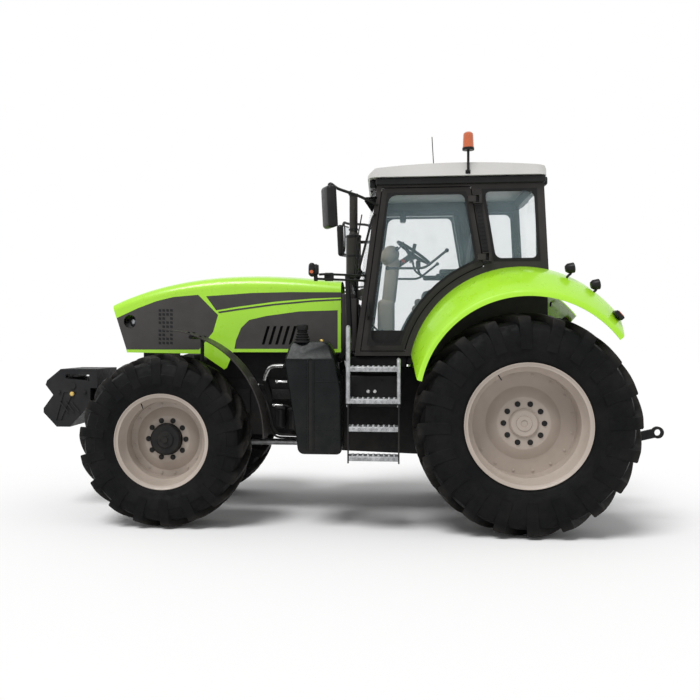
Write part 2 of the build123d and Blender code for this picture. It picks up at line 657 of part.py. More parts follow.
with BuildPart() as rear_axle:
    side_plate(
        (
            (ahead(housing_rear), 700), (ahead(housing_rear + 130), housing_bottom),
            (ahead(300), housing_bottom), (ahead(gearbox_rear) - seat_gap, drive_shaft_z - 80),
            (ahead(gearbox_rear) - seat_gap, gearbox_top),
            (ahead(housing_rear + 100), gearbox_top), (ahead(housing_rear), 1230),
        ),
        spine_half, 2 * spine_half,
    )
    for side in sides.values():
        z = rear_wheel.radius
        waist = side * between(spine_half, casing_end_y, 0.45)
        bar((rear_axle_x, 0, z), (rear_axle_x, waist, z), axle_casing_radius)
        bar((rear_axle_x, waist, z), (rear_axle_x, side * casing_end_y, z), axle_casing_end_radius)
        bar((rear_axle_x, waist, z), (rear_axle_x, side * (casing_end_y + shaft_reach), z), stub_axle_radius)
        # the posts that the cab rests on
        block(
            ahead(cab_post_rear), ahead(cab_post_front), side * cab_post_inner_y, side * cab_post_outer_y,
            z + 60, cab_floor_z - seat_gap,
        )
        # cheeks with the pins that the lower links turn on
        block(
            ahead(link_pivot_x) - 60, ahead(link_pivot_x) + 70,
            side * (spine_half - 5), side * (link_y - link_width / 2 - running_gap),
            link_pivot_z - 60, link_pivot_z + 60,
        )
        bar(
            (ahead(link_pivot_x), side * (link_y - link_width / 2 - running_gap - 1), link_pivot_z),
            (ahead(link_pivot_x), side * (link_y + link_width / 2 + running_gap), link_pivot_z),
            link_pin_radius,
        )
    # power take-off
    back = ahead(housing_rear)
    bar((back + 130, 0, pto_z), (back, 0, pto_z), pto_boss_radius)
    bar((back, 0, pto_z), (back - pto_relief, 0, pto_z), pto_relief_radius)
    bar((back - pto_relief, 0, pto_z), (back - pto_relief - pto_reach, 0, pto_z), pto_radius)
    # bore of the lift shaft, and the clevis of the top link with its pin
    bar(
        (ahead(link_pivot_x), -spine_half - 1, lift_pivot_z),
        (ahead(link_pivot_x), spine_half + 1, lift_pivot_z), lift_shaft_radius + pin_gap, mode=Mode.SUBTRACT,
    )
    for side in sides.values():
        cheek = side * (top_link_radius + 2)
        block(back - 100, back + 2, cheek, cheek + side * 16, top_link_z - 42, top_link_z + 42)
    bar(
        (back - 60, -top_link_radius - 17, top_link_z), (back - 60, top_link_radius + 17, top_link_z),
        top_link_pin_radius - pin_gap,
    )
save(rear_axle.part, "rear_axle_housing")

with BuildPart() as drawbar:
    tip = ahead(housing_rear) - drawbar_reach
    top = drawbar_z + drawbar_wall
    block(tip, ahead(200), -drawbar_half, drawbar_half, drawbar_z, top)
    bar((tip + 60, 0, drawbar_z - 1), (tip + 60, 0, top + 1), drawbar_hole_radius, mode=Mode.SUBTRACT)
    block(ahead(-120), ahead(120), -drawbar_half - 30, drawbar_half + 30, top, housing_bottom - seat_gap)
save(drawbar.part, "drawbar")

with BuildPart() as drive_shaft:
    bar(
        (ahead(engine_rear), 0, drive_shaft_z), (front_axle_x - casing_reach - seat_gap, 0, drive_shaft_z),
        drive_shaft_radius,
    )
save(drive_shaft.part, "drive_shaft")

with BuildPart() as radiator:
    block(
        ahead(radiator_rear), ahead(radiator_rear) + radiator_depth, -radiator_half, radiator_half,
        rail_top + seat_gap, radiator_top,
    )
save(radiator.part, "radiator_pack")

with BuildPart() as tanks:
    for side in sides.values():
        with BuildPart(mode=Mode.PRIVATE) as tank:
            with BuildSketch(side_plane(max(side * tank_inner_y, side * tank_outer_y))):
                Polygon(
                    (ahead(tank_rear), tank_bottom), (ahead(tank_front) - 92, tank_bottom + 40),
                    (ahead(tank_front) - 10, tank_top - 458), (ahead(tank_front), tank_top - 163),
                    (ahead(tank_front) - 40, tank_top), (ahead(tank_rear), tank_top),
                    align=None,
                )
            extrude(amount=tank_outer_y - tank_inner_y)
            outer = tank.faces().sort_by(Axis.Y)[-1 if side > 0 else 0]
            fillet(outer.edges(), radius=tank_corner)
            # the upright groove moulded into its outer face
            y = side * tank_outer_y
            x = ahead(between(tank_rear, tank_front, tank_groove_share))
            block(
                x - tank_groove / 2, x + tank_groove / 2, y - side * tank_groove_depth, y + side,
                tank_bottom - 1, tank_top - tank_groove_end, mode=Mode.SUBTRACT,
            )
            # filler neck and cap
            neck = (ahead(between(tank_rear, tank_front, 0.5)), side * (tank_outer_y - filler_set))
            bar((*neck, tank_top - 10), (*neck, tank_top + filler_neck), filler_radius - 10)
            bar((*neck, tank_top + filler_neck), (*neck, tank_top + filler_neck + filler_cap), filler_radius)
        add(tank.part)
save(tanks.part, "fuel_tanks")

with BuildPart() as steps:
    for side in sides.values():
        rails = (step_rear, step_front)
        for x in rails:
            top = step_handrail_top if x == step_front else step_top
            block(
                ahead(x) - step_rail / 2, ahead(x) + step_rail / 2,
                side * (step_outer_y - step_rail), side * step_outer_y, step_bottom, top,
            )
        for z in step_heights:
            block(
                ahead(step_rear), ahead(step_front), side * step_inner_y, side * step_outer_y,
                z - step_wall, z,
            )
        for x in rails:
            block(
                ahead(x) - step_rail / 2, ahead(x) + step_rail / 2,
                side * step_inner_y, side * (step_inner_y + step_rail), step_bottom, step_top,
            )
        block(
            ahead(step_rear), ahead(step_front), side * (cab_half - 150), side * step_outer_y,
            step_top - step_wall, step_top,
        )
        for x in rails:
            block(
                ahead(x) - step_rail, ahead(x) + step_rail, side * (cab_half - 150), side * (cab_half - 90),
                step_top - step_wall, cab_floor_z - seat_gap,
            )
save(steps.part, "steps")

# ---- cab ----
rear_sill = guard_centre_z + guard_inner_radius
arch_y = rear_wheel.middle_y - rear_wheel.width / 2 - arch_gap - guard_wall
arch_front = ahead((guard_inner_radius**2 - (cab_floor_z - guard_centre_z) ** 2) ** 0.5)
door_arc_radius = guard_inner_radius + door_arc_margin
door_sill = cab_floor_z + cab_floor_wall
door_head = cab_top - cab_header


def arc_x(radius, z):
    """How far ahead of the rear axle the mudguard's arc of this radius is at a height."""
    return ahead((radius**2 - (z - guard_centre_z) ** 2) ** 0.5)


def arc_z(radius, x):
    return guard_centre_z + (radius**2 - (x - rear_axle_x) ** 2) ** 0.5


def door_outline(inset):
    """The door's opening in side view, moved in by inset: front, head, hinge side, arc and sill."""
    with BuildSketch() as outline:
        with BuildLine():
            sill_front = (pillar_x(door_sill) - pillar_width, door_sill)
            head_front = (pillar_x(door_head) - pillar_width, door_head)
            head_rear = (hinge_x(door_head) + hinge_set, door_head)
            low_rear_z = arc_z(door_arc_radius, hinge_x(hinge_low_z))
            low_rear_x = hinge_x(low_rear_z) + hinge_set
            low_rear = (low_rear_x, arc_z(door_arc_radius, low_rear_x))
            sill_rear = (arc_x(door_arc_radius, door_sill), door_sill)
            Polyline(sill_rear, sill_front, head_front, head_rear, low_rear)
            turn = atan2(low_rear[1] - guard_centre_z, low_rear[0] - rear_axle_x) / 2
            turn += atan2(sill_rear[1] - guard_centre_z, sill_rear[0] - rear_axle_x) / 2
            middle = (ahead(door_arc_radius * cos(turn)), guard_centre_z + door_arc_radius * sin(turn))
            ThreePointArc(low_rear, middle, sill_rear)
        make_face()
        if inset:
            offset(amount=-inset, kind=Kind.INTERSECTION)
    return outline.sketch


def window_outline(inset):
    """The rear side window, behind the middle pillar."""
    with BuildSketch() as outline:
        head = door_head - 20
        sill = guard_centre_z + guard_inner_radius + 52
        front = -middle_pillar_width
        back = rear_pillar_width
        Polygon(
            (hinge_x(sill) + front, sill), (cab_rear_x(sill) + back, sill), (cab_rear_x(head) + back, head),
            (hinge_x(head) + front, head),
            align=None,
        )
        if inset:
            offset(amount=-inset, kind=Kind.INTERSECTION)
    return outline.sketch


def on_side(sketch, y):
    return side_plane(y) * sketch


def screen_band(front_offset, wall, half, low, high):
    """A slice of the bulged front of the cab between two heights, leaning with the front pillars."""
    with BuildSketch(Plane.XY.offset(low)) as band:
        x = pillar_x(low) - front_offset
        with BuildLine():
            ThreePointArc((x, -half), (x + windscreen_bulge, 0), (x, half))
            Line((x, half), (x - wall, half))
            ThreePointArc((x - wall, half), (x - wall + windscreen_bulge, 0), (x - wall, -half))
            Line((x - wall, -half), (x, -half))
        make_face()
    lean = Vector(pillar_x(high) - pillar_x(low), 0, high - low)
    return extrude(band.sketch, amount=lean.length, dir=lean.normalized(), mode=Mode.PRIVATE)


hinge_heights = (hinge_low_z + 70, hinge_top_z - 40)


def hinge_pin(z, side, radius, mode=Mode.ADD):
    """A door hinge's pin, along the leaning hinge line."""
    low, high = z - hinge_leaf - 2 * running_gap, z + hinge_leaf + 2 * running_gap
    bar((hinge_x(low), side * hinge_y, low), (hinge_x(high), side * hinge_y, high), radius, mode)


with BuildPart() as cab_frame:
    inner = cab_half - cab_wall
    for side in sides.values():
        y_outer = max(side * cab_half, side * inner)
        side_plate(
            (
                (cab_rear_x(cab_floor_z), cab_floor_z), (pillar_x(cab_floor_z), cab_floor_z),
                (pillar_x(cab_top), cab_top), (cab_rear_x(cab_top), cab_top),
            ),
            y_outer, cab_wall,
        )
        extrude(on_side(door_outline(-door_gap), y_outer), amount=cab_wall, mode=Mode.SUBTRACT)
        extrude(on_side(window_outline(0), y_outer), amount=cab_wall, mode=Mode.SUBTRACT)
        # the wheel arch: nothing of the side lies within it, and a shell and a wall close it inside
        with BuildSketch(side_plane(y_outer)) as arch:
            with Locations((ahead(0), guard_centre_z)):
                Circle(guard_inner_radius)
        extrude(arch.sketch, amount=cab_wall, mode=Mode.SUBTRACT)
        with BuildSketch(side_plane(max(side * arch_y, side * (inner + 1)))) as shell:
            with Locations((ahead(0), guard_centre_z)):
                Circle(guard_inner_radius)
                Circle(guard_inner_radius - guard_wall, mode=Mode.SUBTRACT)
            with Locations(((cab_rear_x(cab_floor_z) + arch_front) / 2, cab_floor_z + 500)):
                Rectangle(arch_front - cab_rear_x(cab_floor_z) - 30, 1000, mode=Mode.INTERSECT)
        extrude(shell.sketch, amount=inner + 1 - arch_y)
        with BuildSketch(side_plane(max(side * arch_y, side * (arch_y + guard_wall)))) as wall:
            with Locations((ahead(0), guard_centre_z)):
                Circle(guard_inner_radius)
            with Locations(((cab_rear_x(cab_floor_z) + arch_front) / 2, cab_floor_z + 500)):
                Rectangle(arch_front - cab_rear_x(cab_floor_z) - 30, 1000, mode=Mode.INTERSECT)
        extrude(wall.sketch, amount=guard_wall)
        for z in hinge_heights:
            for low in (z - hinge_leaf - 2 * running_gap, z + hinge_leaf + running_gap):
                block(
                    hinge_x(z) - 60, hinge_x(z) + hinge_eye, side * (cab_half - 2),
                    side * (hinge_y + hinge_eye), low, low + running_gap,
                )
            block(
                hinge_x(z) - 60, hinge_x(z) - 40, side * (cab_half - 2), side * (hinge_y + hinge_eye),
                z - hinge_leaf - 2 * running_gap, z + hinge_leaf + 2 * running_gap,
            )
            hinge_pin(z, side, hinge_pin_radius)
    for rear, front, half in (
        (cab_rear_x(cab_floor_z), arch_front, arch_y + 1), (arch_front - 1, pillar_x(cab_floor_z) - 20, inner),
    ):
        block(rear, front, -half, half, cab_floor_z, cab_floor_z + cab_floor_wall)
    # front: firewall to the sill of the screen, and the header above it
    side_plate(
        (
            (pillar_x(cab_floor_z) - cab_wall, cab_floor_z), (pillar_x(cab_floor_z), cab_floor_z),
            (pillar_x(screen_sill_z), screen_sill_z), (pillar_x(screen_sill_z) - cab_wall, screen_sill_z),
        ),
        inner, 2 * inner,
    )
    # rear: wall to the sill of the window, two corner posts and the header
    for low, high, half in (
        (cab_floor_z, rear_sill, arch_y), (rear_sill - 40, rear_sill, inner), (door_head, cab_top, inner),
    ):
        side_plate(
            (
                (cab_rear_x(low), low), (cab_rear_x(low) + cab_wall, low),
                (cab_rear_x(high) + cab_wall, high), (cab_rear_x(high), high),
            ),
            half, 2 * half,
        )
    add(screen_band(0, cab_wall, inner, door_head, cab_top))
    add(screen_band(0, cab_wall, inner, screen_sill_z - 60, screen_sill_z))
save(cab_frame.part, "cab_frame")

with BuildPart() as glass:
    add(screen_band(12, glass_wall, inner - seat_gap, screen_sill_z + seat_gap, door_head - seat_gap))
    side_plate(
        (
            (cab_rear_x(rear_sill + seat_gap) + 15, rear_sill + seat_gap),
            (cab_rear_x(rear_sill + seat_gap) + 15 + glass_wall, rear_sill + seat_gap),
            (cab_rear_x(door_head - seat_gap) + 15 + glass_wall, door_head - seat_gap),
            (cab_rear_x(door_head - seat_gap) + 15, door_head - seat_gap),
        ),
        inner - seat_gap, 2 * (inner - seat_gap),
    )
    for side in sides.values():
        y_outer = max(side * (cab_half - 14), side * (cab_half - 14 - glass_wall))
        extrude(on_side(window_outline(seat_gap), y_outer), amount=glass_wall)
save(glass.part, "cab_glass")

with BuildPart() as roof:
    low, high = cab_top + seat_gap, cab_top + roof_edge
    with BuildSketch(side_plane(roof_half)):
        with BuildLine():
            rear, middle, front = ahead(roof_rear), ahead((roof_front + roof_rear) / 2), ahead(roof_front)
            Polyline((rear + 20, high), (rear, high - 40), (rear, low), (front, low), (front, high - 50))
            Line((front, high - 50), (front - 60, high))
            ThreePointArc((front - 60, high), (middle, high + roof_crown), (rear + 20, high))
        make_face()
    extrude(amount=2 * roof_half)
    # rounded in plan, with an edge that rolls over
    with BuildSketch(Plane.XY.offset(cab_top)):
        with Locations((middle, 0)):
            RectangleRounded(roof_front - roof_rear, 2 * roof_half, roof_corner)
    extrude(amount=roof_edge + 2 * roof_crown, mode=Mode.INTERSECT)
    upper_edges = roof.edges().filter_by(lambda edge: high - 60 < edge.center().Z < high + 1)
    fillet(upper_edges, radius=roof_edge_radius)
save(roof.part, "cab_roof")

for side_name, side in sides.items():
    door_y = cab_half - 2
    with BuildPart() as door:
        y_outer = max(side * door_y, side * (door_y - door_wall))
        extrude(on_side(door_outline(0), y_outer), amount=door_wall)
        extrude(on_side(door_outline(door_frame), y_outer), amount=door_wall, mode=Mode.SUBTRACT)
        for z in hinge_heights:
            block(
                hinge_x(z) - hinge_eye, hinge_x(z) + hinge_set + 40,
                side * (hinge_y - hinge_eye), side * (hinge_y + hinge_eye), z - hinge_leaf, z + hinge_leaf,
            )
            block(
                hinge_x(z) + hinge_set + running_gap, hinge_x(z) + hinge_set + 40,
                side * (door_y - 2), side * (hinge_y + hinge_eye), z - hinge_leaf, z + hinge_leaf,
            )
            hinge_pin(z, side, hinge_pin_radius + pin_gap, Mode.SUBTRACT)
        handle_x = pillar_x(handle_z) - pillar_width - door_frame / 2
        grip = door_y + handle_reach
        block(
            handle_x - handle_length, handle_x, side * (door_y - 1), side * grip, handle_z - 16, handle_z + 16,
        )
        block(
            handle_x - handle_length + 12, handle_x - 12, side * door_y, side * (grip - 10),
            handle_z - 17, handle_z + 17, mode=Mode.SUBTRACT,
        )
    save(door.part, f"door_{side_name}")
    with BuildPart() as pane:
        y_outer = max(side * (door_y - 16), side * (door_y - 16 - glass_wall))
        extrude(on_side(door_outline(door_frame + seat_gap), y_outer), amount=glass_wall)
    save(pane.part, f"door_{side_name}_glass")

with BuildPart() as guards:
    for side in sides.values():
        for inner_arc, outer_arc in zip(guard_arcs, guard_arcs[1:]):
            for arc in (inner_arc, outer_arc):
                with BuildSketch(side_plane(side * arc.y)):
                    with BuildLine():
                        centre, sweep_angle = (ahead(0), arc.centre_z), guard_end - guard_start
                        top = CenterArc(centre, arc.radius, guard_start, sweep_angle)
                        under = CenterArc(centre, arc.radius - guard_wall, guard_start, sweep_angle)
                        Line(top @ 0, under @ 0)
                        Line(top @ 1, under @ 1)
                    make_face()
            loft()
save(guards.part, "rear_fenders")

with BuildPart() as cowl:
    cowl_front = ahead(hood_rear) - hood_gap
    block(cowl_front - cab_wall, cowl_front, -cowl_half, cowl_half, cowl_low, hood_hinge_z + 30)
    block(cowl_front - 1, ahead(engine_rear) + 50, -120, 120, cowl_low, cowl_low + 60)
    foot = ahead(engine_rear) + 50
    block(foot - 45, foot, -120, 120, engine_shoulder + seat_gap, cowl_low + 1)
    for side in sides.values():  # ears that rise to the hood's pins from below
        y = side * hood_hinge_y
        side_plate(
            (
                (cowl_front - 1, hood_hinge_z - 160), (ahead(hood_hinge_x) + 22, hood_hinge_z - 160),
                (ahead(hood_hinge_x) + 22, hood_hinge_z + 20), (ahead(hood_hinge_x) - 22, hood_hinge_z + 20),
                (ahead(hood_hinge_x) - 22, hood_hinge_z - 110), (cowl_front - 1, hood_hinge_z - 110),
            ),
            max(y, y - side * 30), 30,
        )
        bar(
            (ahead(hood_hinge_x), y - side, hood_hinge_z), (ahead(hood_hinge_x), y + side * 36, hood_hinge_z),
            hood_pin_radius,
        )
save(cowl.part, "cowl")

# ---- hood: a lofted shell with openings, the panels that fill them and the headlamps ----
Station = namedtuple("Station", "x half top corner")  # x ahead of the rear axle
hood_stations = (
    Station(hood_rear, hood_half, 2172, 95),
    Station(2350, hood_half, 2226, 95),
    Station(2935, hood_half - 7, 2190, 90),
    Station(3400, hood_half - 32, 2088, 80),
    Station(hood_nose + 20, hood_half - 80, 1960, 64),
)


def hood_form(inset, behind=0.0):
    """The hood's outer form, moved in by inset and run on behind."""
    with BuildPart() as form:
        for station in hood_stations:
            x = ahead(station.x)
            half, top, corner = station.half - inset, station.top - inset, station.corner - inset
            shoulder = top - hood_crown
            with BuildSketch(Plane(origin=(x, 0, 0), x_dir=(0, 1, 0), z_dir=(1, 0, 0))):
                with BuildLine():
                    Polyline(
                        (-half, shoulder - corner), (-half, hood_low + 100), (half, hood_low + 100),
                        (half, shoulder - corner),
                    )
                    RadiusArc((half, shoulder - corner), (half - corner, shoulder), -corner)
                    ThreePointArc((half - corner, shoulder), (0, top), (corner - half, shoulder))
                    RadiusArc((corner - half, shoulder), (-half, shoulder - corner), -corner)
                make_face()
        loft()
        if behind:
            extrude(form.faces().sort_by(Axis.X)[0], amount=behind)
        nose_top, nose_foot = ahead(hood_nose) - inset, ahead(hood_nose_foot) - inset
        side_plate(
            (
                (nose_top, hood_nose_z), (nose_foot, hood_sill), (nose_foot, hood_low),
                (nose_top + 2 * cut_past, hood_low), (nose_top + 2 * cut_past, 2300), (nose_top + 20, 2300),
            ),
            1.1 * hood_half, 2.2 * hood_half, mode=Mode.SUBTRACT,
        )
    return form.part


def side_cut(points, grow):
    """A cut across the whole hood, to an outline in side view that is grown by an amount."""
    reach = 1.1 * hood_half
    with BuildSketch(side_plane(reach)) as outline:
        Polygon(*points, align=None)
        if grow:
            offset(amount=grow, kind=Kind.INTERSECTION)
    return extrude(outline.sketch, amount=2 * reach, mode=Mode.PRIVATE)


cut_front, cut_rear = hood_nose + cut_past, hood_rear - cut_past
nose_opening = (
    (ahead(cut_front), hood_sill + 22), (ahead(2862), hood_sill + 22), (ahead(2729), 1691),
    (ahead(2682), 1848), (ahead(2870), 2036), (ahead(3106), 2017), (ahead(3268), 1980), (ahead(3449), 1916),
    (ahead(cut_front), 1716),
)
rear_opening = (
    (ahead(hood_rear) + 30, hood_sill + 30), (ahead(2530), hood_sill + 30), (ahead(2514), 1617),
    (ahead(2467), 1728), (ahead(2393), 1801), (ahead(2235), 1837), (ahead(1931), 1878),
    (ahead(hood_rear) + 30, 1888),
)
below_hood = (
    (ahead(cut_front), hood_sill), (ahead(2842), hood_sill - 15), (ahead(2626), hood_sill - 160),
    (ahead(2600), hood_sill - 145), (ahead(2540), hood_sill), (ahead(cut_rear), hood_sill),
    (ahead(cut_rear), hood_low), (ahead(cut_front), hood_low),
)
with BuildPart() as ears:  # they hang from the hood's top and turn on the cowl's pins
    for side in sides.values():
        y = side * (hood_hinge_y + 4)
        with BuildSketch(side_plane(max(y, y + side * 26))) as ear:
            with Locations((ahead(hood_hinge_x), hood_hinge_z)):
                Circle(24)
            with Locations((ahead(hood_hinge_x), hood_hinge_z + 50)):
                Rectangle(36, 100)
            with Locations((ahead(hood_hinge_x), hood_hinge_z)):
                Circle(hood_pin_radius + pin_gap, mode=Mode.SUBTRACT)
        extrude(ear.sketch, amount=26)
    add(hood_form(hood_wall / 2), mode=Mode.INTERSECT)
with BuildPart() as hood:
    add(hood_form(0))
    add(hood_form(hood_wall, behind=60), mode=Mode.SUBTRACT)
    for opening in (below_hood, nose_opening, rear_opening):
        add(side_cut(opening, 0), mode=Mode.SUBTRACT)
    add(ears.part)
save(hood.part, "hood_shell")

nose_share = (headlamp_z - hood_sill) / (hood_nose_z - hood_sill)
headlamp_x = ahead(between(hood_nose_foot, hood_nose, nose_share) - headlamp_set)
skin = hood_form(panel_set)
core = hood_form(panel_set + panel_wall, behind=60)
with BuildPart() as panels:
    for opening in (nose_opening, rear_opening):
        with BuildPart(mode=Mode.PRIVATE) as panel:
            add(skin)
            add(core, mode=Mode.SUBTRACT)
            add(side_cut(opening, -seat_gap), mode=Mode.INTERSECT)
            add(side_cut(below_hood, seat_gap), mode=Mode.SUBTRACT)
            bar(
                (headlamp_x, -hood_half, headlamp_z), (headlamp_x, hood_half, headlamp_z),
                headlamp_radius + seat_gap, mode=Mode.SUBTRACT,
            )
        add(panel.part)
    for slot in range(louvre_count):
        start = ahead(louvre_front - slot * louvre_pitch)
        side_plate(
            (
                (start, louvre_low), (start + louvre_width, louvre_low),
                (start + louvre_width + louvre_lean, louvre_low + louvre_height),
                (start + louvre_lean, louvre_low + louvre_height),
            ),
            1.1 * hood_half, 2.2 * hood_half, mode=Mode.SUBTRACT,
        )
save(panels.part, "grille_panels")

with BuildPart() as headlamps:
    for side in sides.values():
        with BuildSketch(side_plane(max(side * headlamp_inner_y, side * headlamp_outer_y))):
            with Locations((headlamp_x, headlamp_z)):
                Circle(headlamp_radius)
        extrude(amount=headlamp_outer_y - headlamp_inner_y)
save(headlamps.part, "headlamps")

# ---- exhaust, mirrors, lamps, beacon and antenna ----
with BuildPart() as exhaust:
    x, y = ahead(exhaust_x), -exhaust_y
    with BuildSketch(Plane(origin=(x, y, 0), x_dir=(1, 0, 0), z_dir=(0, -1, 0))):
        Polygon(
            (0, muffler_low), (muffler_radius - 18, muffler_low), (muffler_radius, muffler_low + 30),
            (muffler_radius, muffler_top - 30), (exhaust_radius + 6, muffler_top),
            (exhaust_radius, muffler_top + 20),
            (exhaust_radius, exhaust_top), (exhaust_radius - exhaust_wall, exhaust_top),
            (exhaust_radius - exhaust_wall, exhaust_top - exhaust_bore), (0, exhaust_top - exhaust_bore),
            align=None,
        )
    revolve(axis=Axis((x, y, 0), (0, 0, 1)))
    # bracket back to the cab's firewall, and the elbow in from the engine
    for z in (muffler_low + 60, muffler_top - 90):
        block(pillar_x(z) + seat_gap, x, y - muffler_radius + 4, y - muffler_radius + 30, z, z + 30)
save(exhaust.part, "exhaust_stack")

with BuildPart() as mirrors:
    for side in sides.values():
        foot = (pillar_x(mirror_foot_z) - 22, side * (cab_half + 6), mirror_foot_z)
        block(
            foot[0] - 18, foot[0] + 18, side * (cab_half + seat_gap), side * (cab_half + 12),
            mirror_foot_z - 40, mirror_foot_z + 40,
        )
        with BuildLine() as arm:
            FilletPolyline(
                foot, (foot[0] + 10, side * (cab_half + 70), mirror_foot_z + 8),
                (ahead(mirror_x) + 20, side * mirror_y, mirror_foot_z + 70),
                (ahead(mirror_x) + 20, side * mirror_y, mirror_low + 0.4 * mirror_height),
                radius=35,
            )
        with BuildSketch(Plane(origin=arm.line @ 0, z_dir=arm.line % 0)):
            Circle(mirror_tube_radius)
        sweep(path=arm.line)
        with BuildSketch(Plane.XY.offset(mirror_low)):
            with Locations((ahead(mirror_x) + 8, side * mirror_y)):
                RectangleRounded(mirror_depth, mirror_width, mirror_corner)
        extrude(amount=mirror_height)
        back = ahead(mirror_x) + 8 - mirror_depth / 2
        half = mirror_width / 2 - mirror_rim
        block(
            back - 1, back + mirror_recess, side * mirror_y - half, side * mirror_y + half,
            mirror_low + mirror_rim, mirror_low + mirror_height - mirror_rim, mode=Mode.SUBTRACT,
        )
save(mirrors.part, "mirrors")

with BuildPart() as lamps:
    # lamps on brackets at the front pillars' feet
    for side in sides.values():
        y = side * lamp_y
        z = lamp_z
        block(
            pillar_x(z) - 30, pillar_x(z) - 8, side * (cab_half + seat_gap), y, z - 60, z - 48,
        )
        block(pillar_x(z) - 30, ahead(lamp_x) - 20, y - side * 22, y, z - 60, z - 48)
        block(ahead(lamp_x) - 44, ahead(lamp_x) - 20, y - side * 22, y, z - 60, z)
        bar((ahead(lamp_x) - 46, y - side * 11, z), (ahead(lamp_x) + 24, y - side * 11, z), lamp_radius)
        # lamps on short posts on the rear mudguards
        for x in rear_lamps_x:
            foot = Vector(ahead(x), side * rear_lamp_y, guard_z(x, rear_lamp_y))
            bar(foot + Vector(-40, 0, 70), foot + Vector(30, 0, 70), lamp_radius - 14)
            bar(foot - Vector(0, 0, 9), foot + Vector(0, 0, 30), 9)
    add(guards.part, mode=Mode.SUBTRACT)
save(lamps.part, "work_lamps")

with BuildPart() as beacon:
    x, y = ahead(450), roof_half + 26
    block(x - 20, x + 20, roof_half + seat_gap, y + 20, cab_top + 20, cab_top + 36)
    bar((x, y, cab_top + 20), (x, y, beacon_low), 13)
    bar((x, y, beacon_low), (x, y, beacon_low + 22), 50)
    with BuildSketch(Plane(origin=(x, y, 0), x_dir=(1, 0, 0), z_dir=(0, -1, 0))):
        Polygon(
            (0, beacon_low + 22), (48, beacon_low + 22), (44, beacon_top - 34), (26, beacon_top - 6),
            (0, beacon_top),
            align=None,
        )
    revolve(axis=Axis((x, y, 0), (0, 0, 1)))
save(beacon.part, "beacon")

with BuildPart() as antenna:
    x, y = ahead(707), 300
    z = cab_top + roof_edge + roof_crown
    bar((x, y, z - 12), (x, y, z + 22), 17)
    bar((x, y, z + 22), (x + 18, y, antenna_top), 4)
    add(roof.part, mode=Mode.SUBTRACT)
save(antenna.part, "antenna")

# ---- inside the cab ----
floor = cab_floor_z + cab_floor_wall + seat_gap
with BuildPart() as seat:
    x = ahead(seat_x)
    block(x - 190, x + 190, -170, 170, floor, floor + 90)
    block(x - 150, x + 150, -130, 130, floor + 90, seat_z)
    block(x - 240, x + 250, -255, 255, seat_z, seat_z + 130)
    with BuildSketch(side_plane(250)):
        Polygon(
            (x - 130, seat_z + 100), (x - 215, seat_z + 690), (x - 320, seat_z + 690), (x - 250, seat_z + 100),
            align=None,
        )
    extrude(amount=500)
    block(x - 300, x - 220, -130, 130, seat_z + 690, seat_z + 860)
save(seat.part, "seat")

with BuildPart() as console:
    x = ahead(seat_x)
    block(x - 210, x + 330, -520, -300, floor, floor + 420)
    block(x - 60, x + 330, -490, -330, floor + 420, floor + 500)
save(console.part, "side_console")

with BuildPart() as column:
    foot = (ahead(column_x), floor)
    head = (ahead(wheel_x), wheel_z)
    side_plate(
        (
            (foot[0] - 120, floor), (foot[0] + 120, floor), (head[0] + 130, wheel_z - 90),
            (head[0] + 60, wheel_z - 40), (head[0] - 20, wheel_z - 90),
        ),
        130, 260,
    )
    tilt = Vector(-sin(radians(wheel_tilt)), 0, cos(radians(wheel_tilt)))
    centre = Vector(head[0], 0, head[1])
    bar(centre - tilt * 120, centre, 22)
    tilted = Plane(origin=centre, x_dir=(0, 1, 0), z_dir=tilt)
    with Locations(tilted):
        Torus(steering_radius, 14)
    with BuildSketch(tilted.offset(-8)):
        Circle(45)
        with PolarLocations(0, 3, start_angle=90):
            with Locations((steering_radius / 2, 0)):
                Rectangle(steering_radius, 26)
    extrude(amount=16)
save(column.part, "steering_column")

# ---- three-point linkage: lower links, lift rods, lift arms and top link ----
rise = radians(link_rise)
along = Vector(-cos(rise), 0, sin(rise))
link_pivot = Vector(ahead(link_pivot_x), 0, link_pivot_z)
link_length = (rear_overhang + link_pivot_x - hook_radius) / cos(rise)
lift_offset = Vector(0, 0, lift_pivot_z - link_pivot_z)


def link_side(y):
    """Local x runs back along the links from their pivot."""
    return Plane(origin=link_pivot + Vector(0, y, 0), x_dir=along, z_dir=(0, 1, 0))


rod_pin = link_pivot + along * lift_arm
with BuildPart() as links:
    for side in sides.values():
        y = side * link_y - link_width / 2
        with BuildSketch(link_side(y)):
            with Locations((link_length / 2, 0)):
                Rectangle(link_length, link_height)
            Circle(link_height / 2 + 6)
            with Locations((link_length, 0)):
                Circle(hook_radius)
                Circle(hook_bore_radius, mode=Mode.SUBTRACT)
            Circle(link_pin_radius + pin_gap, mode=Mode.SUBTRACT)
        extrude(amount=link_width)
        bar(
            (rod_pin.X, side * (link_y + link_width / 2 - 1), rod_pin.Z),
            (rod_pin.X, side * (link_y + link_width / 2 + rod_width + 2), rod_pin.Z), rod_pin_radius,
        )
save(links.part, "lower_links")

rod_y = link_y + link_width / 2 + rod_gap + rod_width / 2
eye_top = rod_pin + lift_offset
with BuildPart() as rods:
    for side in sides.values():
        across = Vector(0, rod_width / 2, 0)
        middle = Vector(0, side * rod_y, 0)
        for eye in (rod_pin + middle, eye_top + middle):
            bar(eye - across, eye + across, rod_eye_radius)
        bar((rod_pin.X, side * rod_y, rod_pin.Z), (eye_top.X, side * rod_y, eye_top.Z), rod_width / 2 - 2)
        for eye in (rod_pin + middle, eye_top + middle):
            bar(eye - across * 2, eye + across * 2, rod_pin_radius + pin_gap, mode=Mode.SUBTRACT)
save(rods.part, "lift_rods")

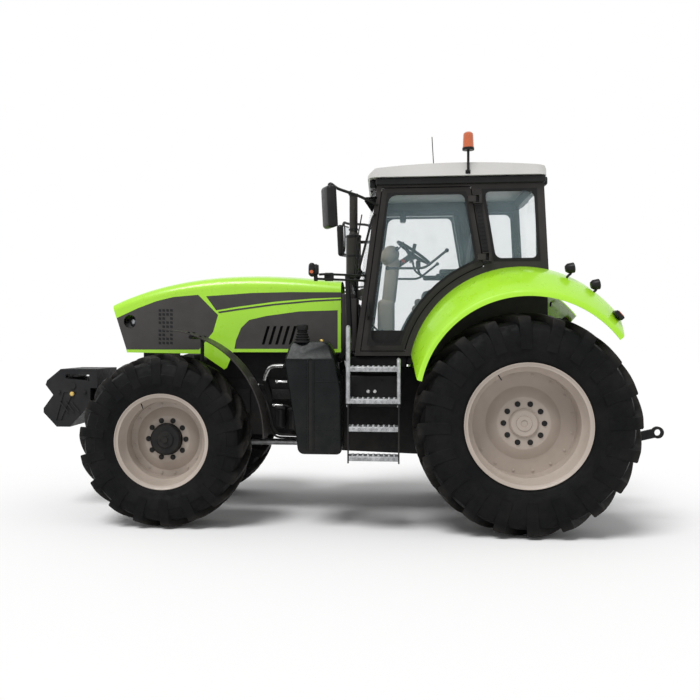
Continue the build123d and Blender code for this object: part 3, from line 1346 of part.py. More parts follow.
lift_pivot = link_pivot + lift_offset
with BuildPart() as arms:
    for side in sides.values():
        y = side * link_y - link_width / 2
        with BuildSketch(Plane(origin=lift_pivot + Vector(0, y, 0), x_dir=along, z_dir=(0, 1, 0))):
            with Locations((lift_arm / 2, 0)):
                Rectangle(lift_arm, 60)
            Circle(60)
            with Locations((lift_arm, 0)):
                Circle(34)
        extrude(amount=link_width)
        bar(
            (eye_top.X, side * (link_y + link_width / 2 - 1), eye_top.Z),
            (eye_top.X, side * (link_y + link_width / 2 + rod_width + 2), eye_top.Z), rod_pin_radius,
        )
    bar(
        (lift_pivot.X, -link_y - link_width / 2, lift_pivot.Z),
        (lift_pivot.X, link_y + link_width / 2, lift_pivot.Z), lift_shaft_radius,
    )
save(arms.part, "lift_arms")

with BuildPart() as top_link:
    x = ahead(housing_rear)
    with BuildSketch(side_plane(top_link_radius)):
        with Locations((x - 60, top_link_z), (x - 60 - top_link_length, top_link_z + 40)):
            Circle(34)
    extrude(amount=2 * top_link_radius)
    bar((x - 60, 0, top_link_z), (x - 60 - top_link_length, 0, top_link_z + 40), top_link_radius)
    for end_x, end_z in ((x - 60, top_link_z), (x - 60 - top_link_length, top_link_z + 40)):
        bar((end_x, -40, end_z), (end_x, 40, end_z), top_link_pin_radius, mode=Mode.SUBTRACT)
save(top_link.part, "top_link")
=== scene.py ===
import json
from math import atan2, cos, pi, radians, sin, tan

import bmesh
import bpy
from mathutils import Matrix, Vector
from mathutils.bvhtree import BVHTree


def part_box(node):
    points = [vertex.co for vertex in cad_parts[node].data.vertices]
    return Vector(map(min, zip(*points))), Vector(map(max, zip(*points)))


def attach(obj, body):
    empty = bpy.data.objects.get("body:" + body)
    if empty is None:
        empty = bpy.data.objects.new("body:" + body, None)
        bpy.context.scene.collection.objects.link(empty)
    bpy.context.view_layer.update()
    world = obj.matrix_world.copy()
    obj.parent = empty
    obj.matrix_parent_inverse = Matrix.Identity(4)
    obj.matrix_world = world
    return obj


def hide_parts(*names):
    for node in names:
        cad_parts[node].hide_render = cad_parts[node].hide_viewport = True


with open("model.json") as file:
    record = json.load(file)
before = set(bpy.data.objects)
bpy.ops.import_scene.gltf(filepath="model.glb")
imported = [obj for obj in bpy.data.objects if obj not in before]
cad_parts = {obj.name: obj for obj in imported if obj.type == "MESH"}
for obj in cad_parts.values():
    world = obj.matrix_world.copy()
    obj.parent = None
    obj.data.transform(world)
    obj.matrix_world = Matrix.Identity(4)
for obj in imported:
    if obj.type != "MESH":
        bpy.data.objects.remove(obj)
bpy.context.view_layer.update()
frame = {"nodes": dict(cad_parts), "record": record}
scene = bpy.context.scene
sides = {"left": 1, "right": -1}
bodyOf = {node: body for body, nodes in frame["record"]["behaviour"]["bodies"].items() for node in nodes}
print("frame loaded")


# small helpers for meshes

def between(low, high, share):
    return low + (high - low) * share


def pieceFrom(bm, name, body, material, angle=35):
    # turns a finished bmesh into an object that rides on a body
    mesh = bpy.data.meshes.new(name)
    bm.to_mesh(mesh)
    bm.free()
    piece = bpy.data.objects.new(name, mesh)
    scene.collection.objects.link(piece)
    mesh.materials.append(material)
    mesh.shade_smooth()
    mesh.set_sharp_from_angle(angle=radians(angle))
    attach(piece, body)
    return piece


def onSide(side, *points):
    # points given for the left side, put on this side
    return [(x, side * y, z) for x, y, z in points]


def centreOf(node):
    low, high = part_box(node)
    return (low + high) / 2


def bevelEdges(bm, edges, width, segments=2):
    bmesh.ops.bevel(
        bm, geom=list(edges), offset=width, offset_type="OFFSET", segments=segments, profile=0.5,
        affect="EDGES", material=-1, clamp_overlap=True,
    )


def addBox(bm, low, high, bevel=0.0, segments=2, turn=None):
    # a box between two corners, with its own bevels, turned about its middle if a matrix is given
    boxBm = bmesh.new()
    bmesh.ops.create_cube(boxBm, size=1.0)
    size = [abs(b - a) for a, b in zip(low, high)]
    bmesh.ops.scale(boxBm, vec=size, verts=boxBm.verts)
    if bevel:
        bevelEdges(boxBm, boxBm.edges, bevel, segments)
    if turn is not None:
        bmesh.ops.rotate(boxBm, cent=(0, 0, 0), matrix=turn, verts=boxBm.verts)
    bmesh.ops.translate(boxBm, vec=(Vector(low) + Vector(high)) / 2, verts=boxBm.verts)
    joinInto(bm, boxBm)


def joinInto(bm, other):
    mesh = bpy.data.meshes.new("joined")
    other.to_mesh(mesh)
    other.free()
    bm.from_mesh(mesh)
    bpy.data.meshes.remove(mesh)


def addRod(bm, start, end, radius, segments=20, bevel=0.0):
    start, end = Vector(start), Vector(end)
    along = end - start
    rodBm = bmesh.new()
    bmesh.ops.create_cone(
        rodBm, cap_ends=True, segments=segments, radius1=radius, radius2=radius, depth=along.length,
    )
    if bevel:
        rims = [edge for edge in rodBm.edges if abs(edge.verts[0].co.z - edge.verts[1].co.z) < 1e-6]
        bevelEdges(rodBm, rims, bevel)
    bmesh.ops.rotate(rodBm, cent=(0, 0, 0), matrix=along.to_track_quat("Z", "Y").to_matrix(), verts=rodBm.verts)
    bmesh.ops.translate(rodBm, vec=(start + end) / 2, verts=rodBm.verts)
    joinInto(bm, rodBm)


def addSpin(bm, points, centre, axis, steps=48, closed=False):
    # points are (along the axis, out from it); the line through them is spun all the way round
    spinBm = bmesh.new()
    axis = Vector(axis).normalized()
    out = Vector((0, 0, 1)) if abs(axis.z) < 0.9 else Vector((1, 0, 0))
    out = (out - axis * out.dot(axis)).normalized()
    verts = [spinBm.verts.new(Vector(centre) + axis * along + out * radius) for along, radius in points]
    pairs = list(zip(verts, verts[1:])) + ([(verts[-1], verts[0])] if closed else [])
    edges = [spinBm.edges.new(pair) for pair in pairs]
    bmesh.ops.spin(
        spinBm, geom=verts + edges, cent=centre, axis=axis, angle=2 * pi, steps=steps, use_merge=True,
    )
    closeUp(spinBm)
    joinInto(bm, spinBm)


def closeUp(bm):
    bmesh.ops.remove_doubles(bm, verts=bm.verts, dist=0.00005)
    bmesh.ops.recalc_face_normals(bm, faces=bm.faces)


def addTube(bm, points, radius, segments=12, bend=0.0):
    # a bent tube through given points, its corners rounded by bend
    curve = bpy.data.curves.new("tube", "CURVE")
    curve.dimensions = "3D"
    curve.bevel_depth = radius
    curve.bevel_resolution = max(1, segments // 4 - 1)
    curve.use_fill_caps = True
    route = [Vector(points[0])]
    for before, corner, after in zip(points, points[1:], points[2:]):
        before, corner, after = Vector(before), Vector(corner), Vector(after)
        reach = min(bend, 0.45 * (corner - before).length, 0.45 * (after - corner).length)
        into = corner + (before - corner).normalized() * reach
        onward = corner + (after - corner).normalized() * reach
        for share in (0.0, 0.25, 0.5, 0.75, 1.0):
            route.append(into * (1 - share) ** 2 + corner * 2 * share * (1 - share) + onward * share**2)
    route.append(Vector(points[-1]))
    spline = curve.splines.new("POLY")
    spline.points.add(len(route) - 1)
    for point, place in zip(spline.points, route):
        point.co = (*place, 1.0)
    holder = bpy.data.objects.new("tube", curve)
    mesh = bpy.data.meshes.new_from_object(holder)
    bm.from_mesh(mesh)
    bpy.data.objects.remove(holder)
    bpy.data.curves.remove(curve)
    bpy.data.meshes.remove(mesh)


def addBolt(bm, place, direction, size):
    # a hexagon head on its washer
    place, direction = Vector(place), Vector(direction).normalized()
    seat = place + direction * size * 0.2
    addRod(bm, place, seat, size * 1.25, segments=16)
    addRod(bm, seat, place + direction * size * 0.8, size, segments=6, bevel=size * 0.1)


# finishes
def newMaterial(name, colour, roughness, metallic=0.0, specular=0.5):
    material = bpy.data.materials.new(name)
    material.use_nodes = True
    shader = material.node_tree.nodes["Principled BSDF"]
    shader.inputs["Base Color"].default_value = (*colour, 1.0)
    shader.inputs["Roughness"].default_value = roughness
    shader.inputs["Metallic"].default_value = metallic
    shader.inputs["Specular IOR Level"].default_value = specular
    return material, material.node_tree, shader


def objectPlace(tree, centre=(0, 0, 0)):
    place = tree.nodes.new("ShaderNodeTexCoord")
    mapping = tree.nodes.new("ShaderNodeMapping")
    mapping.vector_type = "TEXTURE"
    mapping.inputs["Location"].default_value = centre
    tree.links.new(place.outputs["Object"], mapping.inputs["Vector"])
    return mapping.outputs["Vector"]


def noise(tree, place, scale, detail=3.0, roughness=0.5):
    node = tree.nodes.new("ShaderNodeTexNoise")
    node.inputs["Scale"].default_value = scale
    node.inputs["Detail"].default_value = detail
    node.inputs["Roughness"].default_value = roughness
    tree.links.new(place, node.inputs["Vector"])
    return node.outputs["Fac"]


def remap(tree, value, low, high, newLow, newHigh):
    node = tree.nodes.new("ShaderNodeMapRange")
    node.inputs["From Min"].default_value = low
    node.inputs["From Max"].default_value = high
    node.inputs["To Min"].default_value = newLow
    node.inputs["To Max"].default_value = newHigh
    tree.links.new(value, node.inputs["Value"])
    return node.outputs["Result"]


def sums(tree, operation, *values):
    # one maths node; numbers go on its sockets and the rest are linked
    node = tree.nodes.new("ShaderNodeMath")
    node.operation = operation
    for socket, value in zip(node.inputs, values):
        if isinstance(value, (int, float)):
            socket.default_value = value
        else:
            tree.links.new(value, socket)
    return node.outputs["Value"]


def mixColours(tree, share, first, second):
    node = tree.nodes.new("ShaderNodeMix")
    node.data_type = "RGBA"
    for socket, colour in ((node.inputs[6], first), (node.inputs[7], second)):
        if isinstance(colour, tuple):
            socket.default_value = (*colour, 1.0)
        else:
            tree.links.new(colour, socket)
    tree.links.new(share, node.inputs["Factor"])
    return node.outputs[2]


def heightAbove(tree, place):
    node = tree.nodes.new("ShaderNodeSeparateXYZ")
    tree.links.new(place, node.inputs["Vector"])
    return node.outputs["Z"]


def bump(tree, shader, height, strength, distance):
    node = tree.nodes.new("ShaderNodeBump")
    node.inputs["Strength"].default_value = strength
    node.inputs["Distance"].default_value = distance
    tree.links.new(height, node.inputs["Height"])
    tree.links.new(node.outputs["Normal"], shader.inputs["Normal"])


dustForm = {"colour": (0.20, 0.17, 0.13), "low": 0.1, "high": 1.3}


def dusted(tree, place, colour, most=0.22):
    # a film of dust that thins out with height and breaks up in patches
    low = remap(tree, heightAbove(tree, place), dustForm["low"], dustForm["high"], most, 0.0)
    patches = remap(tree, noise(tree, place, 7, 6, 0.65), 0.42, 0.68, 0.15, 1.0)
    return mixColours(tree, sums(tree, "MULTIPLY", low, patches), colour, dustForm["colour"])


def patchyGloss(tree, shader, place, scale, detail, roughness, least, most):
    # roughness that drifts between two shares of its middle value
    drift = remap(tree, noise(tree, place, scale, detail), 0.3, 0.7, roughness * least, roughness * most)
    tree.links.new(drift, shader.inputs["Roughness"])


def paintFinish(name, colour, worn, roughness=0.28, coat=0.5):
    # sprayed paint: slow colour drift, fine orange peel and a film of dust lower down
    material, tree, shader = newMaterial(name, colour, roughness)
    place = objectPlace(tree)
    drift = remap(tree, noise(tree, place, 2.2, 4), 0.35, 0.7, 0.0, 1.0)
    tree.links.new(dusted(tree, place, mixColours(tree, drift, colour, worn)), shader.inputs["Base Color"])
    patchyGloss(tree, shader, place, 14, 5, roughness, 0.8, 1.35)
    shader.inputs["Coat Weight"].default_value = coat
    shader.inputs["Coat Roughness"].default_value = 0.08
    bump(tree, shader, noise(tree, place, 90, 2), 0.03, 0.0004)
    return material


def castFinish(name, colour, worn, roughness=0.55, grain=160, depth=0.35, specular=0.16):
    # painted castings and moulded plastic: a fine grain with uneven gloss
    material, tree, shader = newMaterial(name, colour, roughness, specular=specular)
    place = objectPlace(tree)
    drift = remap(tree, noise(tree, place, 5, 6, 0.6), 0.38, 0.68, 0.0, 1.0)
    tree.links.new(dusted(tree, place, mixColours(tree, drift, colour, worn), most=0.10), shader.inputs["Base Color"])
    patchyGloss(tree, shader, place, 30, 4, roughness, 0.8, 1.2)
    bump(tree, shader, noise(tree, place, grain, 4, 0.6), depth, 0.0012)
    return material


def metalFinish(name, colour, roughness, worn=0.6):
    # plated or rolled steel: dull blotches under a fine brushed grain
    material, tree, shader = newMaterial(name, colour, roughness, metallic=0.85)
    place = objectPlace(tree)
    dull = tuple(channel * worn for channel in colour)
    drift = remap(tree, noise(tree, place, 22, 6, 0.65), 0.40, 0.62, 0.0, 1.0)
    tree.links.new(mixColours(tree, drift, colour, dull), shader.inputs["Base Color"])
    patchyGloss(tree, shader, place, 60, 4, roughness, 0.75, 1.3)
    bump(tree, shader, noise(tree, place, 240, 2), 0.25, 0.0008)
    return material


def glassFinish(name, tint, clear):
    # thin tinted glazing: mostly clear, with the sheen of the pane and a little dust
    material, tree, shader = newMaterial(name, tint, 0.02)
    shader.inputs["IOR"].default_value = 1.45
    place = objectPlace(tree)
    tree.links.new(remap(tree, noise(tree, place, 5, 6, 0.6), 0.45, 0.75, clear, clear + 0.03), shader.inputs["Alpha"])
    tree.links.new(remap(tree, noise(tree, place, 6, 4), 0.35, 0.7, 0.02, 0.07), shader.inputs["Roughness"])
    return material


def rubberFinish(name, centre, radius):
    # tyre rubber with rings on the sidewall, a dry, dusty bloom and a painted highlight on the outer tread
    material, tree, shader = newMaterial(name, (0.0040, 0.0040, 0.0045), 0.66, specular=0.10)
    place = objectPlace(tree, centre)
    bloom = remap(tree, noise(tree, place, 3.5, 6, 0.62), 0.40, 0.74, 0.0, 1.0)
    fresh = mixColours(tree, bloom, (0.0030, 0.0032, 0.0036), (0.009, 0.0088, 0.0085))
    flat = tree.nodes.new("ShaderNodeVectorMath")
    flat.operation = "MULTIPLY"
    flat.inputs[1].default_value = (1, 0, 1)
    tree.links.new(place, flat.inputs[0])
    reach = tree.nodes.new("ShaderNodeVectorMath")
    reach.operation = "LENGTH"
    tree.links.new(flat.outputs["Vector"], reach.inputs[0])
    out = reach.outputs["Value"]
    # the outer tread ring is painted lighter and browner: a painted highlight on the lug tops, tinted like dust
    outer = remap(tree, out, radius * 0.90, radius * 1.0, 0.0, 1.0)
    dustyTreadHighlight = sums(tree, "MULTIPLY", outer, remap(tree, noise(tree, place, 9, 6, 0.7), 0.36, 0.62, 0.15, 0.75))
    tree.links.new(mixColours(tree, dustyTreadHighlight, fresh, (0.040, 0.036, 0.032)), shader.inputs["Base Color"])
    rings = sums(tree, "SINE", sums(tree, "MULTIPLY", out, 2 * pi / 0.012))
    band = remap(tree, out, radius * 0.70, radius * 0.62, 0.0, 1.0)
    height = sums(tree, "MULTIPLY_ADD", noise(tree, place, 140, 4), 0.5, sums(tree, "MULTIPLY", rings, band))
    tree.links.new(remap(tree, noise(tree, place, 24, 4), 0.3, 0.7, 0.46, 0.74), shader.inputs["Roughness"])
    bump(tree, shader, height, 0.3, 0.0012)
    return material


def clothFinish(name, colour, worn):
    # a woven seat cover: two crossed waves of thread
    material, tree, shader = newMaterial(name, colour, 0.9, specular=0.15)
    place = objectPlace(tree)
    drift = remap(tree, noise(tree, place, 12, 5), 0.35, 0.7, 0.0, 1.0)
    tree.links.new(mixColours(tree, drift, colour, worn), shader.inputs["Base Color"])
    shader.inputs["Sheen Weight"].default_value = 0.25
    threads = []
    for direction in ("X", "Z"):
        wave = tree.nodes.new("ShaderNodeTexWave")
        wave.bands_direction = direction
        wave.inputs["Scale"].default_value = 110
        wave.inputs["Distortion"].default_value = 0.6
        tree.links.new(place, wave.inputs["Vector"])
        threads.append(wave.outputs["Fac"])
    bump(tree, shader, sums(tree, "MULTIPLY", *threads), 0.5, 0.0012)
    return material


def lampFinish(name, colour, roughness=0.08, ribs=110.0):
    # moulded lens with fine upright flutes
    material, tree, shader = newMaterial(name, colour, roughness)
    place = objectPlace(tree)
    shader.inputs["Coat Weight"].default_value = 0.6
    patchyGloss(tree, shader, place, 40, 3, roughness, 0.7, 1.8)
    tree.links.new(
        mixColours(tree, noise(tree, place, 18, 3), colour, tuple(channel * 0.7 for channel in colour)),
        shader.inputs["Base Color"],
    )
    wave = tree.nodes.new("ShaderNodeTexWave")
    wave.inputs["Scale"].default_value = ribs
    tree.links.new(place, wave.inputs["Vector"])
    bump(tree, shader, wave.outputs["Fac"], 0.25, 0.0015)
    return material


finishes = {
    "body_green": paintFinish("limePaint", (0.375, 0.745, 0.022), (0.35, 0.70, 0.020), roughness=0.30, coat=0.35),
    "dark_panel": castFinish("greyPanel", (0.056, 0.052, 0.050), (0.066, 0.062, 0.060), roughness=0.40, depth=0.1),
    "cast_black": castFinish("blackCasting", (0.0085, 0.0085, 0.0095), (0.016, 0.015, 0.0145)),
    "rim_beige": paintFinish("wheelPaint", (0.44, 0.375, 0.325), (0.37, 0.315, 0.27), roughness=0.45, coat=0.12),
    "roof_grey": paintFinish("roofShell", (0.60, 0.59, 0.575), (0.54, 0.53, 0.515), roughness=0.35, coat=0.3),
    "cab_black": castFinish("cabPaint", (0.030, 0.027, 0.026), (0.038, 0.034, 0.032), roughness=0.40, depth=0.08),
    "glass_clear": glassFinish("cabGlass", (0.42, 0.56, 0.62), clear=0.10),
    "lamp_lens": lampFinish("clearLens", (0.60, 0.63, 0.66)),
    "amber_lens": lampFinish("amberLens", (0.60, 0.115, 0.022), ribs=60.0),
    "tank_black": castFinish(
        "mouldedTank", (0.0042, 0.0055, 0.0060), (0.009, 0.010, 0.0105), roughness=0.30, grain=260, depth=0.12,
        specular=0.14,
    ),
    "step_silver": metalFinish("ladderMetal", (0.46, 0.47, 0.48), 0.48),
    "weight_black": castFinish(
        "weightCasting", (0.0135, 0.0140, 0.0155), (0.022, 0.022, 0.023), roughness=0.5, grain=90,
    ),
    "trim_beige": castFinish("cabTrim", (0.36, 0.31, 0.25), (0.31, 0.27, 0.215), roughness=0.6, grain=320),
    "seat_cloth": clothFinish("seatCloth", (0.022, 0.023, 0.026), (0.034, 0.034, 0.036)),
    "steel": metalFinish("bareSteel", (0.42, 0.42, 0.43), 0.4),
}
sealRubber = castFinish(
    "sealRubber", (0.006, 0.006, 0.006), (0.010, 0.010, 0.010), roughness=0.6, depth=0.1, specular=0.2,
)
satinBlack = castFinish("satinBlack", (0.010, 0.010, 0.011), (0.016, 0.016, 0.016), roughness=0.34, depth=0.06)
chrome = metalFinish("brightSteel", (0.68, 0.68, 0.67), 0.22, worn=0.8)
brassCap = metalFinish("goldenCap", (0.70, 0.50, 0.16), 0.35, worn=0.8)
redPlastic = castFinish("redPlastic", (0.55, 0.03, 0.02), (0.45, 0.025, 0.02), roughness=0.35, depth=0.1)
redLens = lampFinish("redLens", (0.50, 0.012, 0.010))
mirrorGlass = metalFinish("mirrorGlass", (0.75, 0.78, 0.80), 0.04, worn=0.95)
tyreRubber = {}
for end in ("front", "rear"):
    for sideName in sides:
        tyreNode = f"tyre_{end}_{sideName}"
        tyreRadius = (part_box(tyreNode)[1].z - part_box(tyreNode)[0].z) / 2
        tyreRubber[tyreNode] = rubberFinish(f"rubber_{end}_{sideName}", centreOf(tyreNode), tyreRadius)

slotOf = {subpart["node"]: subpart["material_slot"] for subpart in frame["record"]["subparts"]}
for nodeName, slotName in slotOf.items():
    node = frame["nodes"][nodeName]
    finish = tyreRubber.get(nodeName) or finishes[slotName]
    if not node.material_slots:
        node.data.materials.append(finish)
    for materialSlot in node.material_slots:
        materialSlot.link = "OBJECT"
        materialSlot.material = finish
print("finishes made")

# floor, light and camera
studio = {
    "floorHalf": 60.0, "floorColour": (0.92, 0.92, 0.92), "worldStrength": 0.55,
    "sunStrength": 2.1, "sunSpread": 26.0, "sunAhead": (-0.28, -0.62, -1.0),
}

bm = bmesh.new()
bmesh.ops.create_grid(bm, x_segments=1, y_segments=1, size=studio["floorHalf"])
floorMesh = bpy.data.meshes.new("floor")
bm.to_mesh(floorMesh)
bm.free()
floor = bpy.data.objects.new("floor", floorMesh)
scene.collection.objects.link(floor)
floorMaterial, floorTree, floorShader = newMaterial("floorFinish", studio["floorColour"], 0.95, specular=0.0)
floorTree.links.new(
    mixColours(floorTree, noise(floorTree, objectPlace(floorTree), 0.6), (0.925, 0.925, 0.925), studio["floorColour"]),
    floorShader.inputs["Base Color"],
)
floorMesh.materials.append(floorMaterial)

world = bpy.data.worlds.new("studioWorld")
scene.world = world
world.use_nodes = True
worldTree = world.node_tree
background = worldTree.nodes["Background"]
background.inputs["Color"].default_value = (1, 1, 1, 1)
background.inputs["Strength"].default_value = studio["worldStrength"]
backdrop = worldTree.nodes.new("ShaderNodeBackground")
backdrop.inputs["Color"].default_value = (1, 1, 1, 1)
backdrop.inputs["Strength"].default_value = 1.0
rays = worldTree.nodes.new("ShaderNodeLightPath")
seen = sums(worldTree, "MAXIMUM", rays.outputs["Is Glossy Ray"], rays.outputs["Is Transmission Ray"])
seen = sums(worldTree, "MAXIMUM", rays.outputs["Is Camera Ray"], seen)
choice = worldTree.nodes.new("ShaderNodeMixShader")
worldTree.links.new(seen, choice.inputs["Fac"])
worldTree.links.new(background.outputs["Background"], choice.inputs[1])
worldTree.links.new(backdrop.outputs["Background"], choice.inputs[2])
worldTree.links.new(choice.outputs["Shader"], worldTree.nodes["World Output"].inputs["Surface"])

sun = bpy.data.lights.new("sun", "SUN")
sun.energy = studio["sunStrength"]
sun.angle = radians(studio["sunSpread"])
sunObject = bpy.data.objects.new("sun", sun)
scene.collection.objects.link(sunObject)
sunObject.rotation_euler = Vector(studio["sunAhead"]).to_track_quat("-Z", "Y").to_euler()

view = {"place": (-0.406, 9.16, 1.617), "ahead": (0.12187, -0.99255, 0.0), "lens": 49.27, "shift": (0.1186, -0.0143)}
cameraData = bpy.data.cameras.new("camera")
cameraData.lens = view["lens"]
cameraData.sensor_width = 36.0
cameraData.shift_x, cameraData.shift_y = view["shift"]
camera = bpy.data.objects.new("camera", cameraData)
scene.collection.objects.link(camera)
camera.location = view["place"]
camera.rotation_euler = Vector(view["ahead"]).to_track_quat("-Z", "Y").to_euler()
scene.camera = camera
scene.view_settings.view_transform = "Standard"
print("studio set up")


# tyres
tyreForms = {
    "front": {"lugs": 18, "lugHeight": 0.050, "lugWidth": 0.066, "sweep": 17.0, "wrap": 0.15},
    "rear": {"lugs": 20, "lugHeight": 0.058, "lugWidth": 0.078, "sweep": 16.0, "wrap": 0.19},
}


def carcassHalf(radius, half, flange, form):
    # half a tyre's section, from the tread's middle to the flange: (across, out)
    tread = radius - form["lugHeight"]
    return (
        (0.0, tread), (0.35 * half, tread - 0.004), (0.7 * half, tread - 0.016), (0.84 * half, tread - 0.036),
        (0.93 * half, tread - 0.075), (0.965 * half, tread - 0.12), (0.985 * half, 0.5 * (tread + flange) + 0.02),
        (0.975 * half, 0.5 * (tread + flange) - 0.05), (0.93 * half, flange + 0.07), (0.90 * half, flange + 0.045),
        (0.895 * half, flange + 0.036), (0.87 * half, flange + 0.022), (0.855 * half, flange + 0.004),
    )


def lugPoint(radius, half, form, share):
    # along one lug, from the tread's middle over the shoulder: across, out of the base, out of the top
    tread = radius - form["lugHeight"]
    if share < 0.72:
        across = between(-0.02, 0.90 * half, share / 0.72)
        drop = 0.034 * (across / (0.86 * half)) ** 2
        return across, tread - drop - 0.012, radius - 0.9 * drop
    down = (share - 0.72) / 0.28
    across = between(0.90 * half, 1.0 * half, down ** 0.6)
    return across, tread - 0.05 - down * form["wrap"], radius - 0.034 - down * (form["wrap"] + 0.01)


def makeTyre(end, sideName):
    form, node = tyreForms[end], f"tyre_{end}_{sideName}"
    centre = centreOf(node)
    low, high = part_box(node)
    radius, half = (high.z - low.z) / 2, (high.y - low.y) / 2 - 0.001
    rimLow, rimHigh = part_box(f"rim_{end}_{sideName}")
    flange = (rimHigh.z - rimLow.z) / 2
    bm = bmesh.new()
    section = carcassHalf(radius, half, flange, form)
    profile = [(-across, out) for across, out in reversed(section[1:])] + list(section)
    inner = [(0.70 * half, flange - 0.01), (-0.70 * half, flange - 0.01)]
    addSpin(bm, profile + inner, centre, (0, 1, 0), steps=120, closed=True)
    for hand in (1, -1):
        lugBm = bmesh.new()
        bmesh.ops.create_cube(lugBm, size=1.0)
        long = [edge for edge in lugBm.edges if abs(edge.verts[0].co.x - edge.verts[1].co.x) > 0.5]
        bmesh.ops.subdivide_edges(lugBm, edges=long, cuts=9, use_grid_fill=True)
        rims = [
            edge for edge in lugBm.edges
            if min(vert.co.z for vert in edge.verts) > 0.4 and len(edge.link_faces) == 2
            and edge.calc_face_angle() > 1.0
        ]
        bevelEdges(lugBm, rims, 0.09, 1)
        for vert in lugBm.verts:
            share, aside, up = vert.co.x + 0.5, vert.co.y, vert.co.z + 0.5
            across, base, top = lugPoint(radius, half, form, share)
            out = between(base, top, up)
            flare = 1.15 + 0.35 * max(0.0, share - 0.5) - 0.22 * up
            spread = 1.3 * aside * form["lugWidth"] * flare / radius
            swing = radians(form["sweep"]) * min(share / 0.72, 1.0) ** 0.9
            angle = swing + spread + (pi / form["lugs"] if hand < 0 else 0.0)
            vert.co = centre + Vector((-out * sin(angle), hand * across, out * cos(angle)))
        bmesh.ops.recalc_face_normals(lugBm, faces=lugBm.faces)
        bmesh.ops.spin(
            lugBm, geom=lugBm.verts[:] + lugBm.edges[:] + lugBm.faces[:], cent=centre, axis=(0, 1, 0),
            angle=2 * pi * (form["lugs"] - 1) / form["lugs"], steps=form["lugs"] - 1, use_duplicate=True,
        )
        joinInto(bm, lugBm)
    tyre = pieceFrom(bm, f"{node}_tread", f"wheel_{end}_{sideName}", tyreRubber[node], angle=28)
    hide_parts(node)


for end in ("front", "rear"):
    for sideName in sides:
        makeTyre(end, sideName)
print("tyres made")


# rims and hubs
rimForms = {
    "front": {
        "middle": 0.93, "lip": 0.230, "flange": 0.406, "bead": 0.381, "face": -0.020, "dish": 0.050, "flat": 0.205,
        "hub": 0.135, "studs": 16, "boltCircle": 0.1675, "bolts": 10,
    },
    "rear": {
        "middle": 0.96, "lip": 0.290, "flange": 0.508, "bead": 0.483, "face": 0.000, "dish": 0.060, "flat": 0.225,
        "hub": 0.120, "studs": 16, "boltCircle": 0.1675, "bolts": 10,
    },
}


def onWheel(centre, side, along, radius, angle):
    return Vector((centre.x + radius * cos(angle), centre.y + side * along, centre.z + radius * sin(angle)))


def makeRim(end, sideName):
    form, side, node = rimForms[end], sides[sideName], f"rim_{end}_{sideName}"
    centre = centreOf(node)
    lip, flange, bead, face = form["lip"], form["flange"], form["bead"], form["face"]
    bm = bmesh.new()
    barrel = (
        (-lip, flange), (-lip + 0.007, flange - 0.004), (-lip + 0.011, bead + 0.006), (-lip + 0.020, bead - 0.004),
        (-lip + 0.075, bead - 0.010), (-lip + 0.100, bead - 0.042), (0.3 * -lip, bead - 0.046),
        (lip - 0.135, bead - 0.046), (lip - 0.085, bead - 0.016), (lip - 0.030, bead - 0.008),
        (lip - 0.014, bead - 0.002), (lip - 0.010, flange - 0.008), (lip - 0.004, flange - 0.001),
        (lip, flange - 0.002),
    )
    disc = (
        (face, form["hub"]), (face, form["flat"] - 0.012), (face - 0.004, form["flat"]),
        (face - form["dish"] + 0.006, form["flat"] + 1.3 * form["dish"]),
        (face - form["dish"], form["flat"] + 1.5 * form["dish"]), (face - form["dish"], bead - 0.046),
    )
    for points in (barrel, disc):
        skin = bmesh.new()
        addSpin(skin, points, centre, (0, side, 0), steps=96)
        for item in skin.faces:
            radial = item.calc_center_median() - centre
            if points is barrel and item.normal.dot(Vector((radial.x, 0, radial.z))) > 0:
                item.normal_flip()
            if points is disc and item.normal.y * side < 0:
                item.normal_flip()
        bmesh.ops.solidify(skin, geom=skin.faces[:], thickness=0.007)
        joinInto(bm, skin)
    for step in range(form["studs"]):
        angle = 2 * pi * (step + 0.5) / form["studs"]
        place = onWheel(centre, side, face - form["dish"], bead - 0.075, angle)
        addBolt(bm, place, (0, side, 0), 0.011)
    rim = pieceFrom(bm, f"{node}_well", bodyOf[node], finishes["rim_beige"], angle=30)
    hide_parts(node)
    bm = bmesh.new()
    for step in range(form["bolts"]):
        angle = 2 * pi * step / form["bolts"]
        addBolt(bm, onWheel(centre, side, face, form["boltCircle"], angle), (0, side, 0), 0.019)
    valve = onWheel(centre, side, lip - 0.055, bead - 0.012, radians(60))
    addRod(bm, valve, valve + Vector((-0.5, side * 0.6, -0.85)) * 0.045, 0.005)
    pieceFrom(bm, f"{node}_bolts", bodyOf[node], satinBlack)


